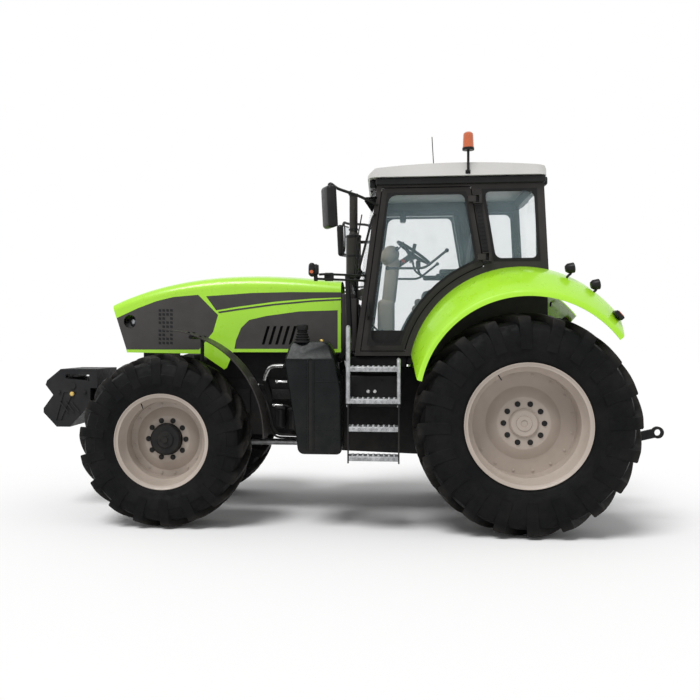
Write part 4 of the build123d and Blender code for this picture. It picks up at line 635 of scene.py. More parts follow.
def makeHub(end, sideName):
    form, side, node = rimForms[end], sides[sideName], f"hub_{end}_{sideName}"
    centre = centreOf(f"rim_{end}_{sideName}")
    face, hub = form["face"], form["hub"]
    bm = bmesh.new()
    if end == "front":
        cover = (
            (face - 0.01, hub - 0.004), (face + 0.012, hub + 0.006), (face + 0.022, hub + 0.004), (face + 0.026, 0.120),
            (face + 0.066, 0.112), (face + 0.072, 0.104), (face + 0.074, 0.078), (face + 0.088, 0.074),
            (face + 0.094, 0.066), (face + 0.094, 0.030), (face + 0.104, 0.026), (face + 0.104, 0.0),
        )
        addSpin(bm, cover, centre, (0, side, 0), steps=64)
        for step in range(12):
            addBolt(bm, onWheel(centre, side, face + 0.072, 0.092, 2 * pi * step / 12), (0, side, 0), 0.008)
        for step in range(3):
            addBolt(bm, onWheel(centre, side, face + 0.093, 0.048, 2 * pi * step / 3), (0, side, 0), 0.009)
        pieceFrom(bm, f"{node}_cover", bodyOf[node], finishes["cast_black"])
    else:
        cover = (
            (face - 0.01, hub), (face + 0.014, hub - 0.002), (face + 0.018, hub - 0.008), (face + 0.018, 0.070),
            (face + 0.034, 0.062), (face + 0.036, 0.030), (face + 0.028, 0.026), (face + 0.028, 0.0),
        )
        addSpin(bm, cover, centre, (0, side, 0), steps=64)
        for step in range(8):
            addBolt(bm, onWheel(centre, side, face + 0.017, 0.092, 2 * pi * step / 8), (0, side, 0), 0.011)
        pieceFrom(bm, f"{node}_cover", bodyOf[node], finishes["rim_beige"])


for end in ("front", "rear"):
    for sideName in sides:
        makeRim(end, sideName)
        makeHub(end, sideName)
print("rims made")

# cab: seals, bands and the vent strip
cabLines = {
    "pillarFoot": -0.145, "pillarHead": -0.348, "rearFoot": -1.828, "rearHead": -1.748, "floor": 1.48, "height": 1.54,
    "hingeLow": (-1.26, 2.257), "hingeTop": (-1.16, 2.864), "doorHead": 2.93, "doorSill": 1.525, "pillar": 0.052,
    "arcCentre": (-1.56, 1.293), "doorArc": 1.012, "windowSill": 2.295, "windowHead": 2.91,
}


def pillarX(z):
    return between(cabLines["pillarFoot"], cabLines["pillarHead"], (z - cabLines["floor"]) / cabLines["height"])


def cabRearX(z):
    return between(cabLines["rearFoot"], cabLines["rearHead"], (z - cabLines["floor"]) / cabLines["height"])


def hingeX(z):
    (lowX, lowZ), (topX, topZ) = cabLines["hingeLow"], cabLines["hingeTop"]
    return between(lowX, topX, (z - lowZ) / (topZ - lowZ))


def doorLine():
    # the door's edge as (x, z, round): sill, front, head, hinge side and the arc over the mudguard
    head, sill, (arcX, arcZ), reach = (
        cabLines["doorHead"], cabLines["doorSill"], cabLines["arcCentre"], cabLines["doorArc"],
    )
    lowX = hingeX(cabLines["hingeLow"][1]) + 0.014
    lowZ = arcZ + (reach**2 - (lowX - arcX) ** 2) ** 0.5
    lowX = hingeX(lowZ) + 0.014
    start, stop = atan2(sill - arcZ, (reach**2 - (sill - arcZ) ** 2) ** 0.5), atan2(lowZ - arcZ, lowX - arcX)
    turns = [between(stop, start, step / 10) for step in range(1, 10)]
    arc = [(arcX + reach * cos(turn), arcZ + reach * sin(turn), 0) for turn in turns]
    pillar = cabLines["pillar"]
    return [
        (arcX + reach * cos(start), sill, 0.05), (pillarX(sill) - pillar, sill, 0.085),
        (pillarX(head) - pillar, head, 0.06), (hingeX(head) + 0.014, head, 0.045), (lowX, lowZ, 0.04), *arc,
    ]


def windowLine():
    sill, head = cabLines["windowSill"], cabLines["windowHead"]
    return [
        (hingeX(sill) - 0.078, sill, 0.05), (cabRearX(sill) + 0.064, sill, 0.05),
        (cabRearX(head) + 0.064, head, 0.06), (hingeX(head) - 0.078, head, 0.05),
    ]


def insetFace(bm, line, inset):
    # a face inside a line in side view, moved in evenly, with its corners rounded
    bm.faces.new([bm.verts.new((x, 0, z)) for x, z, _ in line])
    bm.normal_update()
    rounds = {index: radius for index, (_, _, radius) in enumerate(line) if radius}
    if inset:
        before = [vert.co.copy() for vert in bm.verts]
        bmesh.ops.inset_region(bm, faces=bm.faces[:], thickness=inset, use_boundary=True, use_even_offset=True)
        inner = [item for item in bm.faces if not any(vert.is_boundary for vert in item.verts)]
        points = [vert.co.copy() for vert in inner[0].verts]
        lead = min(range(len(points)), key=lambda step: (points[step] - before[0]).length)
        points = points[lead:] + points[:lead]
        if (points[1] - before[1]).length > (points[-1] - before[1]).length:
            points = points[:1] + points[:0:-1]
        bm.clear()
        bm.faces.new([bm.verts.new(point) for point in points])
    bm.verts.ensure_lookup_table()
    corners = [(bm.verts[index], radius) for index, radius in rounds.items()]
    for radius in sorted({radius for _, radius in corners}):
        chosen = [vert for vert, size in corners if size == radius and vert.is_valid]
        bmesh.ops.bevel(
            bm, geom=chosen, offset=radius, offset_type="OFFSET", segments=6, profile=0.5, affect="VERTICES",
            material=-1, clamp_overlap=False,
        )
    return [vert.co.copy() for vert in bm.faces[:][0].verts]


def addSeal(bm, line, outer, inner, y, thickness, outerRound=True):
    # the ring between two insets of a line, extruded from y inwards
    loops = []
    for inset, rounded in ((outer, outerRound), (inner, True)):
        work = bmesh.new()
        used = line if rounded else [(x, z, 0) for x, z, _ in line]
        loops.append(insetFace(work, used, inset))
        work.free()
    ring = bmesh.new()
    edges = []
    for points in loops:
        verts = [ring.verts.new(point) for point in points]
        edges += [ring.edges.new(pair) for pair in zip(verts, verts[1:] + verts[:1])]
    bmesh.ops.triangle_fill(ring, use_beauty=True, edges=edges)
    finishPlate(bm, ring, y, thickness)


def finishPlate(bm, flat, y, thickness):
    # gives a flat shape at y = 0 its thickness and moves it to y
    made = bmesh.ops.extrude_face_region(flat, geom=flat.faces[:], use_keep_orig=True)
    moved = [item for item in made["geom"] if isinstance(item, bmesh.types.BMVert)]
    bmesh.ops.translate(flat, vec=(0, -thickness if y > 0 else thickness, 0), verts=moved)
    bmesh.ops.translate(flat, vec=(0, y, 0), verts=flat.verts)
    bmesh.ops.recalc_face_normals(flat, faces=flat.faces)
    joinInto(bm, flat)


def addBand(bm, line, inset, y, thickness, cut):
    # the part of a line's inside below a height
    work = bmesh.new()
    insetFace(work, line, inset)
    bmesh.ops.bisect_plane(
        work, geom=work.verts[:] + work.edges[:] + work.faces[:], plane_co=(0, 0, cut), plane_no=(0, 0, 1),
        clear_outer=True,
    )
    finishPlate(bm, work, y, thickness)


for sideName, side in sides.items():
    body = f"door_{sideName}"
    bm = bmesh.new()
    addSeal(bm, doorLine(), 0.044, 0.066, side * 0.838, 0.016, outerRound=False)
    addBand(bm, doorLine(), 0.052, side * 0.775, 0.004, 1.70)
    pieceFrom(bm, f"{body}_seal", body, sealRubber)
    bm = bmesh.new()
    handleX = pillarX(1.86) - cabLines["pillar"] - 0.023
    addBox(bm, (handleX - 0.017, side * 0.838, 1.79), (handleX + 0.017, side * 0.848, 1.94), bevel=0.004)
    grip = ((0.842, 1.80), (0.876, 1.82), (0.876, 1.90), (0.842, 1.93))
    addTube(bm, [(handleX, side * y, z) for y, z in grip], 0.008, bend=0.02)
    addTube(
        bm, onSide(side, (-0.43, 0.742, 2.243), (-0.75, 0.735, 2.24), (-0.94, 0.742, 2.392)), 0.011, bend=0.05,
    )
    for x, z in ((-0.43, 2.243), (-0.94, 2.392)):
        addRod(bm, (x, side * 0.760, z), (x, side * 0.736, z), 0.018, bevel=0.003)
    pieceFrom(bm, f"{body}_handle", body, satinBlack)
    bm = bmesh.new()
    addSeal(bm, doorLine(), -0.014, 0.020, side * 0.743, 0.010)
    addSeal(bm, windowLine(), 0.0, 0.022, side * 0.796, 0.018, outerRound=False)
    pieceFrom(bm, f"window_{sideName}_seal", "chassis", sealRubber)
    # vent strip on the middle pillar, between two hinge plates
    bm = bmesh.new()
    low, high = Vector((-1.275, side * 0.794, 2.284)), Vector((-1.199, side * 0.794, 2.815))
    lean = atan2(high.x - low.x, high.z - low.z)
    turn = Matrix.Rotation(lean, 3, "Y")
    # the strip, its slats and its end plates as share up the line, half size, bevel, segments
    plates = [(0.5, (0.027, 0.006, (high - low).length / 2), 0.004, 2)]
    plates += [(0.06 + 0.88 * step / 14, (0.020, 0.011, 0.006), 0.002, 1) for step in range(15)]
    plates += [(0.03, (0.035, 0.010, 0.030), 0.004, 2), (0.97, (0.035, 0.010, 0.030), 0.004, 2)]
    for share, half, bevel, segments in plates:
        place = low + (high - low) * share
        addBox(bm, place - Vector(half), place + Vector(half), bevel=bevel, segments=segments, turn=turn)
    pieceFrom(bm, f"vent_{sideName}", "chassis", satinBlack)
    # grab tube along the front pillar and the gutter under the roof
    bm = bmesh.new()
    grab = ((-0.325, 0.80, 2.70), (-0.307, 0.90, 2.682), (-0.189, 0.90, 2.231), (-0.205, 0.80, 2.21))
    addTube(bm, [(x, side * y, z) for x, y, z in grab], 0.011, bend=0.05)
    pieceFrom(bm, f"grab_tube_{sideName}", "chassis", satinBlack)
    bm = bmesh.new()
    addBox(bm, (-1.76, side * 0.782, 2.955), (-0.33, side * 0.832, 3.018), bevel=0.014, segments=3)
    pieceFrom(bm, f"gutter_{sideName}", "chassis", satinBlack)
print("cab trim made")


# hood: stripes and lamps
stripeForms = {
    "wedge": [
        (1.235, 2.022), (1.141, 1.892), (0.95, 1.922), (0.60, 1.968), (0.25, 1.996), (-0.012, 2.005),
        (-0.012, 2.051), (0.45, 2.056), (0.80, 2.050),
    ],
    "line": [
        (1.113, 1.864), (0.95, 1.888), (0.60, 1.934), (0.25, 1.965), (-0.012, 1.978), (-0.012, 1.992),
        (0.25, 1.980), (0.60, 1.950), (0.95, 1.905), (1.125, 1.878),
    ],
}
finForm = {
    "first": (1.552, 1.575), "pitch": (0.037, 0.038), "rows": 9, "columns": 4, "missing": ((1, 2), (1, 6), (3, 4)),
}


def skinOf(node):
    # a node's mesh as a tree that rays can be cast at
    source = frame["nodes"][node]
    bm = bmesh.new()
    bm.from_mesh(source.data)
    bmesh.ops.transform(bm, matrix=source.matrix_world, verts=bm.verts)
    tree = BVHTree.FromBMesh(bm)
    bm.free()
    return tree


def laidOn(bm, tree, outline, side, grid=0.03):
    # a sheet with this outline in side view, laid on a surface from the side and lifted 1.2 mm off it;
    # what would fall past the surface's edge is left out
    work = bmesh.new()
    work.faces.new([work.verts.new((x, 0, z)) for x, z in outline])
    xs, zs = [x for x, _ in outline], [z for _, z in outline]
    for low, high, normal in ((min(xs), max(xs), (1, 0, 0)), (min(zs), max(zs), (0, 0, 1))):
        count = max(1, int((high - low) / grid))
        for step in range(1, count):
            place = Vector(normal) * between(low, high, step / count)
            bmesh.ops.bisect_plane(
                work, geom=work.verts[:] + work.edges[:] + work.faces[:], plane_co=place, plane_no=normal,
            )
    for vert in work.verts:
        hit, normal, _, _ = tree.ray_cast(Vector((vert.co.x, side * 1.2, vert.co.z)), Vector((0, -side, 0)))
        if hit is not None:
            vert.co = hit + Vector((0, side * 0.0012, 0))
    bmesh.ops.delete(work, geom=[vert for vert in work.verts if abs(vert.co.y) < 0.1], context="VERTS")
    for face in work.faces:
        face.normal_update()
        if face.normal.y * side < 0:
            face.normal_flip()
    joinInto(bm, work)


hoodSkin = skinOf("hood_shell")
panelSkin = skinOf("grille_panels")
for sideName, side in sides.items():
    bm = bmesh.new()
    for outline in stripeForms.values():
        laidOn(bm, hoodSkin, outline, side)
    pieceFrom(bm, f"hood_stripe_{sideName}", "hood", finishes["dark_panel"])
    # fins on the nose panel, with three of them missing
    bm = bmesh.new()
    for row in range(finForm["rows"]):
        for column in range(finForm["columns"]):
            if (column, row) in finForm["missing"]:
                continue
            x, z = finForm["first"][0] + finForm["pitch"][0] * column, finForm["first"][1] + finForm["pitch"][1] * row
            fin = [(x, z), (x + 0.026, z + 0.004), (x + 0.026, z + 0.028), (x, z + 0.024)]
            laidOn(bm, panelSkin, fin, side, grid=0.02)
    pieceFrom(bm, f"nose_fins_{sideName}", "hood", finishes["weight_black"])
smokedLens = lampFinish("smokedLens", (0.035, 0.036, 0.040), roughness=0.05, ribs=40.0)
bm = bmesh.new()
innerBm = bmesh.new()
for side in sides.values():
    middle = centreOf("headlamps")
    lampCentre = Vector((middle.x - 0.020, side * 0.318, middle.z))
    lampAxis = (0.62, side * 0.78, 0.0)
    bowl = [(0.0, 0.0), (0.006, 0.030), (-0.004, 0.055), (-0.030, 0.060), (-0.060, 0.0)]
    core = [(0.007, 0.0), (0.0125, 0.014), (0.006, 0.024), (-0.006, 0.026), (-0.02, 0.0)]
    addSpin(bm, bowl, lampCentre, lampAxis, steps=40)
    addSpin(innerBm, core, lampCentre, lampAxis, steps=32)
lens = pieceFrom(bm, "headlamp_lenses", "hood", smokedLens)
pieceFrom(innerBm, "headlamp_cores", "hood", finishes["lamp_lens"])
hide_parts("headlamps")
print("hood dressed")

# exhaust
exhaust = {
    "x": -0.09, "y": -0.70,
    "bands": [  # height, section
        *[
            (z, [(0.0, radius - 0.006), (0.004, radius), (0.026, radius), (0.030, radius - 0.006)])
            for z, radius in ((2.27, 0.080), (2.46, 0.079), (2.66, 0.080))
        ],
        (2.74, [(0.0, 0.040), (0.0, 0.050), (0.016, 0.050), (0.016, 0.040)]),
        (3.055, [(0.0, 0.0405), (0.055, 0.0435), (0.060, 0.0445), (0.060, 0.0405)]),
    ],
}
bm = bmesh.new()
for z, section in exhaust["bands"]:
    addSpin(bm, section, (exhaust["x"], exhaust["y"], z), (0, 0, 1), steps=40, closed=True)
addTube(bm, [(-0.048, -0.70, 3.10), (-0.036, -0.70, 3.135), (-0.075, -0.70, 3.15)], 0.006, bend=0.02)
pieceFrom(bm, "exhaust_bands", "chassis", satinBlack)

# mirrors
mirrorForm = {
    "middle": (0.040, 1.345, 2.700), "toeIn": 22, "tilt": 3,
    "arm": (
        (-0.345, 0.84, 2.78), (-0.20, 1.0, 2.835), (-0.013, 1.22, 2.872), (0.030, 1.30, 2.900),
        (0.044, 1.35, 2.885), (0.045, 1.35, 2.84),
    ),
    "stay": ((0.030, 1.27, 2.885), (0.020, 1.235, 2.80), (0.020, 1.235, 2.60), (0.040, 1.30, 2.55)),
    "bracket": ((-0.345, 0.795, 2.86), (-0.30, 0.795, 2.72), (-0.235, 0.95, 2.80), (-0.245, 0.95, 2.835)),
}
bm = bmesh.new()
glassBm = bmesh.new()
for side in sides.values():
    turn = Matrix.Rotation(radians(side * mirrorForm["toeIn"]), 3, "Z")
    turn = turn @ Matrix.Rotation(radians(mirrorForm["tilt"]), 3, "Y")
    middle = Vector(onSide(side, mirrorForm["middle"])[0])
    for target, offset, size, bevel in (
        (bm, 0.006, (0.072, 0.190, 0.345), 0.032), (bm, -0.026, (0.022, 0.178, 0.330), 0.010),
        (glassBm, -0.037, (0.006, 0.150, 0.292), 0.0025),
    ):
        place = middle + turn @ Vector((offset, 0, 0))
        half = Vector(size) / 2
        addBox(target, place - half, place + half, bevel=bevel, segments=4, turn=turn)
    addTube(bm, onSide(side, *mirrorForm["arm"]), 0.013, bend=0.05)
    addTube(bm, onSide(side, *mirrorForm["stay"]), 0.008, bend=0.04)
    bracket = bmesh.new()
    bracket.faces.new([bracket.verts.new(corner) for corner in onSide(side, *mirrorForm["bracket"])])
    bmesh.ops.solidify(bracket, geom=bracket.faces[:], thickness=0.018)
    bmesh.ops.recalc_face_normals(bracket, faces=bracket.faces)
    joinInto(bm, bracket)
arms = pieceFrom(bm, "mirror_housings", "chassis", satinBlack)
pieceFrom(glassBm, "mirror_glasses", "chassis", mirrorGlass)
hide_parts("mirrors")

# ladder
ladder = {"front": -0.105, "rear": -0.522, "treads": (1.38, 1.115, 0.884, 0.640), "outer": 1.195}
bm = bmesh.new()
strapBm = bmesh.new()
for side in sides.values():
    outer, front, rear = side * ladder["outer"], ladder["front"], ladder["rear"]
    addTube(bm, [(front, outer, 1.722), (front, outer, 1.09)], 0.019)
    frontRail = [
        (front, outer, 1.40), (front, outer, 1.722), (front + 0.004, side * 1.05, 1.722), (front, side * 0.93, 1.60),
    ]
    addTube(bm, frontRail, 0.0185, bend=0.04)
    rearRail = [(rear, outer, 1.09), (rear, outer, 1.452), (rear, side * 1.02, 1.452), (rear, side * 0.95, 1.40)]
    addTube(bm, rearRail, 0.016, bend=0.035)
    for x in (front, rear):
        addBox(strapBm, (x - 0.006, outer - side * 0.035, 0.595), (x + 0.006, outer + side * 0.012, 1.12), bevel=0.002)
        addBolt(bm, (x + 0.006, outer - side * 0.012, 1.07), (1, 0, 0), 0.010)
    for z in ladder["treads"]:
        addBox(bm, (rear, outer - side * 0.17, z - 0.026), (front, outer + side * 0.008, z + 0.016), bevel=0.006)
        for row in range(3):
            for step in range(9):
                x = between(rear + 0.035, front - 0.035, step / 8)
                y = outer - side * (0.025 + 0.055 * row)
                addSpin(
                    bm, [(0.0, 0.013), (0.006, 0.010), (0.006, 0.006), (0.0, 0.005)], (x, y, z + 0.016), (0, 0, 1),
                    steps=8,
                )
        for step in range(8):
            x = between(rear + 0.045, front - 0.045, step / 7)
            addSpin(
                bm, [(0.0, 0.012), (0.003, 0.010), (0.003, 0.007), (0.0, 0.005)],
                (x, outer + side * 0.008, z - 0.005), (0, side, 0), steps=10,
            )
treads = pieceFrom(bm, "ladder_treads", "chassis", finishes["step_silver"])
pieceFrom(strapBm, "ladder_straps", "chassis", satinBlack)
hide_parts("steps")
print("ladder and mirrors made")


# rear mudguards
guardForm = {
    "rows": (  # across, height of the arc's middle, radius
        (0.7903, 1.293, 0.950), (0.90, 1.272, 0.9475), (1.02, 1.246, 0.9435), (1.06, 1.232, 0.9385),
        (1.16, 1.176, 0.929), (1.250, 1.122, 0.9185), (1.276, 1.104, 0.912), (1.284, 1.099, 0.898),
        (1.284, 1.099, 0.872),
    ),
    "middle": (-1.56, 0, 1.2), "start": 12.0, "end": 143.5, "steps": 72, "wall": 0.010,
}
bm = bmesh.new()
middle = Vector(guardForm["middle"])
for side in sides.values():
    guardBm = bmesh.new()
    loops = []
    for y, z, radius in guardForm["rows"]:
        shares = [step / guardForm["steps"] for step in range(guardForm["steps"] + 1)]
        turns = [radians(between(guardForm["start"], guardForm["end"], share)) for share in shares]
        verts = [guardBm.verts.new((middle.x + radius * cos(turn), side * y, z + radius * sin(turn))) for turn in turns]
        loops.append([guardBm.edges.new(pair) for pair in zip(verts, verts[1:])])
    for first, second in zip(loops, loops[1:]):
        bmesh.ops.bridge_loops(guardBm, edges=first + second)
    guardBm.normal_update()
    for face in guardBm.faces:
        out = face.calc_center_median() - middle
        if face.normal.dot(Vector((out.x, side * 0.4, out.z))) < 0:
            face.normal_flip()
    bmesh.ops.solidify(guardBm, geom=guardBm.faces[:], thickness=guardForm["wall"])
    joinInto(bm, guardBm)
guards = pieceFrom(bm, "rear_mudguards", "chassis", finishes["body_green"], angle=24)
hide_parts("rear_fenders")
print("rear mudguards made")

# fuel tanks
tankForm = {
    "outline": [  # side view, with the round of each corner
        (-0.050, 0.655, 0.045), (0.318, 0.655, 0.050), (0.338, 0.84, 0.03), (0.432, 1.440, 0.035),
        (0.385, 1.606, 0.035), (0.074, 1.606, 0.04), (0.010, 1.455, 0.05), (-0.040, 1.20, 0.03),
    ],
    "inner": 0.575, "outer": 1.128, "groove": (0.190, 0.238), "grooveTop": 1.445, "shoulder": 1.455, "lean": 0.48,
}
bm = bmesh.new()
bootBm = bmesh.new()
capBm = bmesh.new()
for side in sides.values():
    tankBm = bmesh.new()
    insetFace(tankBm, tankForm["outline"], 0)
    made = bmesh.ops.extrude_face_region(tankBm, geom=tankBm.faces[:], use_keep_orig=True)
    moved = [item for item in made["geom"] if isinstance(item, bmesh.types.BMVert)]
    bmesh.ops.translate(tankBm, vec=(0, side * (tankForm["outer"] - tankForm["inner"]), 0), verts=moved)
    bmesh.ops.translate(tankBm, vec=(0, side * tankForm["inner"], 0), verts=tankBm.verts)
    bmesh.ops.recalc_face_normals(tankBm, faces=tankBm.faces)
    bmesh.ops.bisect_plane(
        tankBm, geom=tankBm.verts[:] + tankBm.edges[:] + tankBm.faces[:], plane_co=(0, 0, tankForm["shoulder"]),
        plane_no=(0, 0, 1),
    )
    for vert in tankBm.verts:  # the lid's outer face leans in above the shoulder
        if abs(vert.co.y) > 1.0 and vert.co.z > tankForm["shoulder"]:
            vert.co.y -= side * tankForm["lean"] * (vert.co.z - tankForm["shoulder"])
    rims = [
        edge for edge in tankBm.edges if len(edge.link_faces) == 2 and edge.calc_face_angle() > radians(21)
        and min(abs(vert.co.y) for vert in edge.verts) > 1.0
    ]
    bmesh.ops.bevel(
        tankBm, geom=rims, offset=0.018, offset_type="OFFSET", segments=4, profile=0.5, affect="EDGES", material=-1,
        clamp_overlap=False,
    )
    joinInto(bm, tankBm)
    # the upright groove in the outer face, as a dark trough between two swelling ribs
    for x in tankForm["groove"]:
        addBox(
            bm, (x - 0.010, side * 1.112, 0.69), (x + 0.010, side * 1.136, tankForm["grooveTop"]), bevel=0.008,
            segments=3,
        )
    first, last = tankForm["groove"]
    slotBm = bmesh.new()
    insetFace(slotBm, [(first, 0.69, 0), (last, 0.69, 0), (last, 1.462, 0.022), (first, 1.462, 0.022)], 0)
    finishPlate(bootBm, slotBm, side * 1.1295, 0.006)
    for z in (0.86, 1.26):
        addBox(bm, (-0.040, side * 1.115, z), (0.17, side * 1.131, z + 0.010), bevel=0.004)
    # corrugated boot round the filler neck, and the breather's cap beside it
    wave = [(0.0, 0.0), (0.0, 0.072)]
    for step in range(5):
        wave += [(0.008 + 0.022 * step, 0.072 - 0.006 * step), (0.018 + 0.022 * step, 0.058 - 0.006 * step)]
    wave += [(0.118, 0.040), (0.118, 0.0)]
    addSpin(bootBm, wave, (0.290, side * 1.02, 1.596), (0.0, 0, 1), steps=36)
    addSpin(
        bootBm, [(0.0, 0.0), (0.0, 0.046), (0.012, 0.050), (0.040, 0.050), (0.048, 0.042), (0.048, 0.0)],
        (0.290, side * 1.02, 1.70), (0, 0, 1), steps=32,
    )
    addSpin(
        capBm, [(0.0, 0.0), (0.0, 0.018), (0.018, 0.018), (0.024, 0.013), (0.024, 0.0)], (0.125, side * 1.02, 1.598),
        (0, 0, 1), steps=24,
    )
tanks = pieceFrom(bm, "moulded_tanks", "chassis", finishes["tank_black"], angle=30)
pieceFrom(bootBm, "tank_boots", "chassis", sealRubber)
pieceFrom(capBm, "tank_caps", "chassis", brassCap)
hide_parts("fuel_tanks")
print("tanks made")

# lamps and beacon
lampForms = {
    "roadAcross": 1.150,
    "roadArms": (
        ((0.165, 1.150, 2.130), (0.11, 1.135, 2.128), (-0.235, 0.86, 2.128), (-0.235, 0.80, 2.128)),
        ((0.135, 1.150, 2.165), (0.09, 1.12, 2.170), (-0.235, 0.86, 2.172), (-0.240, 0.80, 2.172)),
    ),
    "rearAcross": 0.995, "rearPlaces": ((-1.934, 2.212), (-2.136, 2.075)), "rearAim": (-1, 0, 0.15),
    "tailPlace": (-2.272, 1.815), "tailTurn": 41,
    "roofPlaces": ((-0.300, 1), (-1.765, -1)), "roofAcross": (0.42, 0.66),
}
bm = bmesh.new()
lensBm = bmesh.new()
amberBm = bmesh.new()
redBm = bmesh.new()
for side in sides.values():
    y = side * lampForms["roadAcross"]
    addBox(bm, (0.172, y - side * 0.055, 2.148), (0.222, y + side * 0.055, 2.262), bevel=0.022, segments=4)
    addSpin(
        bm, [(-0.03, 0.0), (-0.03, 0.040), (-0.01, 0.048), (0.0, 0.048), (0.0, 0.0)], (0.172, y, 2.205), (1, 0, 0),
        steps=32,
    )
    addSpin(lensBm, [(0.0, 0.044), (0.004, 0.040), (0.006, 0.0)], (0.2225, y, 2.205), (1, 0, 0), steps=32)
    addSpin(
        amberBm, [(0.0, 0.015), (0.004, 0.012), (0.005, 0.0)], (0.198, y + side * 0.055, 2.185), (0, side, 0),
        steps=20,
    )
    addBox(bm, (0.150, y - side * 0.020, 2.110), (0.182, y + side * 0.020, 2.160), bevel=0.006)
    for arm in lampForms["roadArms"]:
        addTube(bm, onSide(side, *arm), 0.010, bend=0.03)
    addBox(bm, (0.02, side * 1.03, 2.115), (0.10, side * 1.09, 2.185), bevel=0.012, segments=3)
    for x, z in lampForms["rearPlaces"]:
        y = side * lampForms["rearAcross"]
        foot = z - 0.105
        addTube(
            bm,
            [(x + 0.035, y, foot - 0.01), (x + 0.032, y, foot + 0.035), (x - 0.004, y, z - 0.045), (x, y, z - 0.01)],
            0.010, bend=0.03,
        )
        addSpin(
            bm, [(-0.045, 0.0), (-0.045, 0.026), (-0.025, 0.041), (0.022, 0.044), (0.028, 0.040), (0.028, 0.0)],
            (x, y, z), lampForms["rearAim"], steps=32,
        )
        addSpin(lensBm, [(0.0285, 0.038), (0.033, 0.030), (0.035, 0.0)], (x, y, z), lampForms["rearAim"], steps=32)
    # tail lamps on the back of each mudguard
    turn = Matrix.Rotation(radians(lampForms["tailTurn"]), 3, "Y")
    outward = turn @ Vector((-1, 0, 0))
    for target, y, out, size in (
        (bm, 1.120, 0.0, (0.034, 0.200, 0.085)), (redBm, 1.070, 0.016, (0.016, 0.085, 0.066)),
        (amberBm, 1.168, 0.016, (0.016, 0.085, 0.066)),
    ):
        place = Vector((lampForms["tailPlace"][0], side * y, lampForms["tailPlace"][1])) + outward * out
        addBox(target, place - Vector(size) / 2, place + Vector(size) / 2, bevel=0.006, segments=3, turn=turn)
    # work lamps under the roof's front and rear edges
    for x, turned in lampForms["roofPlaces"]:
        for y in [side * across for across in lampForms["roofAcross"]]:
            addBox(
                bm, (x - 0.03 * turned, y - 0.085, 2.945), (x + 0.022 * turned, y + 0.085, 3.015), bevel=0.010,
                segments=3,
            )
            addBox(lensBm, (x + 0.015 * turned, y - 0.072, 2.956), (x + 0.026 * turned, y + 0.072, 3.004), bevel=0.004)
lampCases = pieceFrom(bm, "lamp_cases", "chassis", satinBlack)
pieceFrom(lensBm, "lamp_glasses", "chassis", finishes["lamp_lens"])
pieceFrom(amberBm, "side_markers", "chassis", finishes["amber_lens"])
pieceFrom(redBm, "tail_lenses", "chassis", redLens)
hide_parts("work_lamps")

bm = bmesh.new()
standBm = bmesh.new()
low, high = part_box("beacon")
bx, by, bz = (low.x + high.x) / 2, (low.y + high.y) / 2, high.z
dome = [(0.0, 0.046), (0.004, 0.047)]
for step in range(7):
    rise = 0.012 + 0.015 * step
    dome += [(rise, 0.0468 - 0.0006 * step), (rise + 0.006, 0.0445 - 0.0006 * step)]
dome += [(0.120, 0.040), (0.132, 0.028), (0.137, 0.012), (0.138, 0.0)]
addSpin(bm, dome, (bx, by, bz - 0.140), (0, 0, 1), steps=40)
addSpin(
    standBm, [(0.0, 0.0), (0.0, 0.048), (0.004, 0.050), (0.020, 0.050), (0.024, 0.047), (0.024, 0.0)],
    (bx, by, bz - 0.162), (0, 0, 1), steps=40,
)
addTube(standBm, [(bx, by, bz - 0.160), (bx, by, 3.05), (bx, by - 0.04, 3.046), (bx, 0.84, 3.046)], 0.011, bend=0.02)
addBox(standBm, (bx - 0.022, 0.832, 3.030), (bx + 0.022, 0.866, 3.066), bevel=0.006)
domePiece = pieceFrom(bm, "beacon_dome", "chassis", finishes["amber_lens"])
pieceFrom(standBm, "beacon_stand", "chassis", satinBlack)
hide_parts("beacon")
print("lamps made")

# between hood and cab: side covers and the exhaust's lower pipe
bm = bmesh.new()
for side in sides.values():
    addBox(bm, (-0.150, side * 0.395, 1.500), (-0.024, side * 0.600, 2.030), bevel=0.012)
    addBox(bm, (-0.165, side * 0.600, 1.520), (-0.060, side * 0.700, 1.980), bevel=0.012)
    for z in (1.58, 1.76, 1.94):
        addBolt(bm, (-0.10, side * 0.700, z), (0, side, 0), 0.010)
pieceFrom(bm, "bulkhead_covers", "chassis", finishes["cab_black"])
bm = bmesh.new()
addTube(
    bm, [(-0.09, -0.70, 2.26), (-0.09, -0.70, 1.72), (0.02, -0.52, 1.44), (0.16, -0.34, 1.40)], 0.050, segments=16,
    bend=0.12,
)
addTube(bm, [(-0.080, 0.700, 2.19), (-0.105, 0.705, 1.62), (-0.02, 0.62, 1.46)], 0.022, bend=0.10)
for z in (1.80, 2.10):
    addBox(bm, (-0.165, -0.745, z), (-0.13, -0.655, z + 0.03), bevel=0.004)
pieceFrom(bm, "exhaust_downpipe", "chassis", finishes["cast_black"])

# seat: crowned cushions with piped seams
cushions = (  # name, size, middle, lean, seams as (axis, place)
    ("seat_cushion", (0.47, 0.49, 0.135), (-0.985, 0, 2.022), 0, ((1, -0.62), (1, 0.62))),
    ("seat_back", (0.58, 0.46, 0.115), (-1.222, 0, 2.365), 82, ((1, -0.60), (1, 0.60), (0, 0.0))),
    ("headrest", (0.165, 0.26, 0.085), (-1.262, 0, 2.735), 82, ()),
)


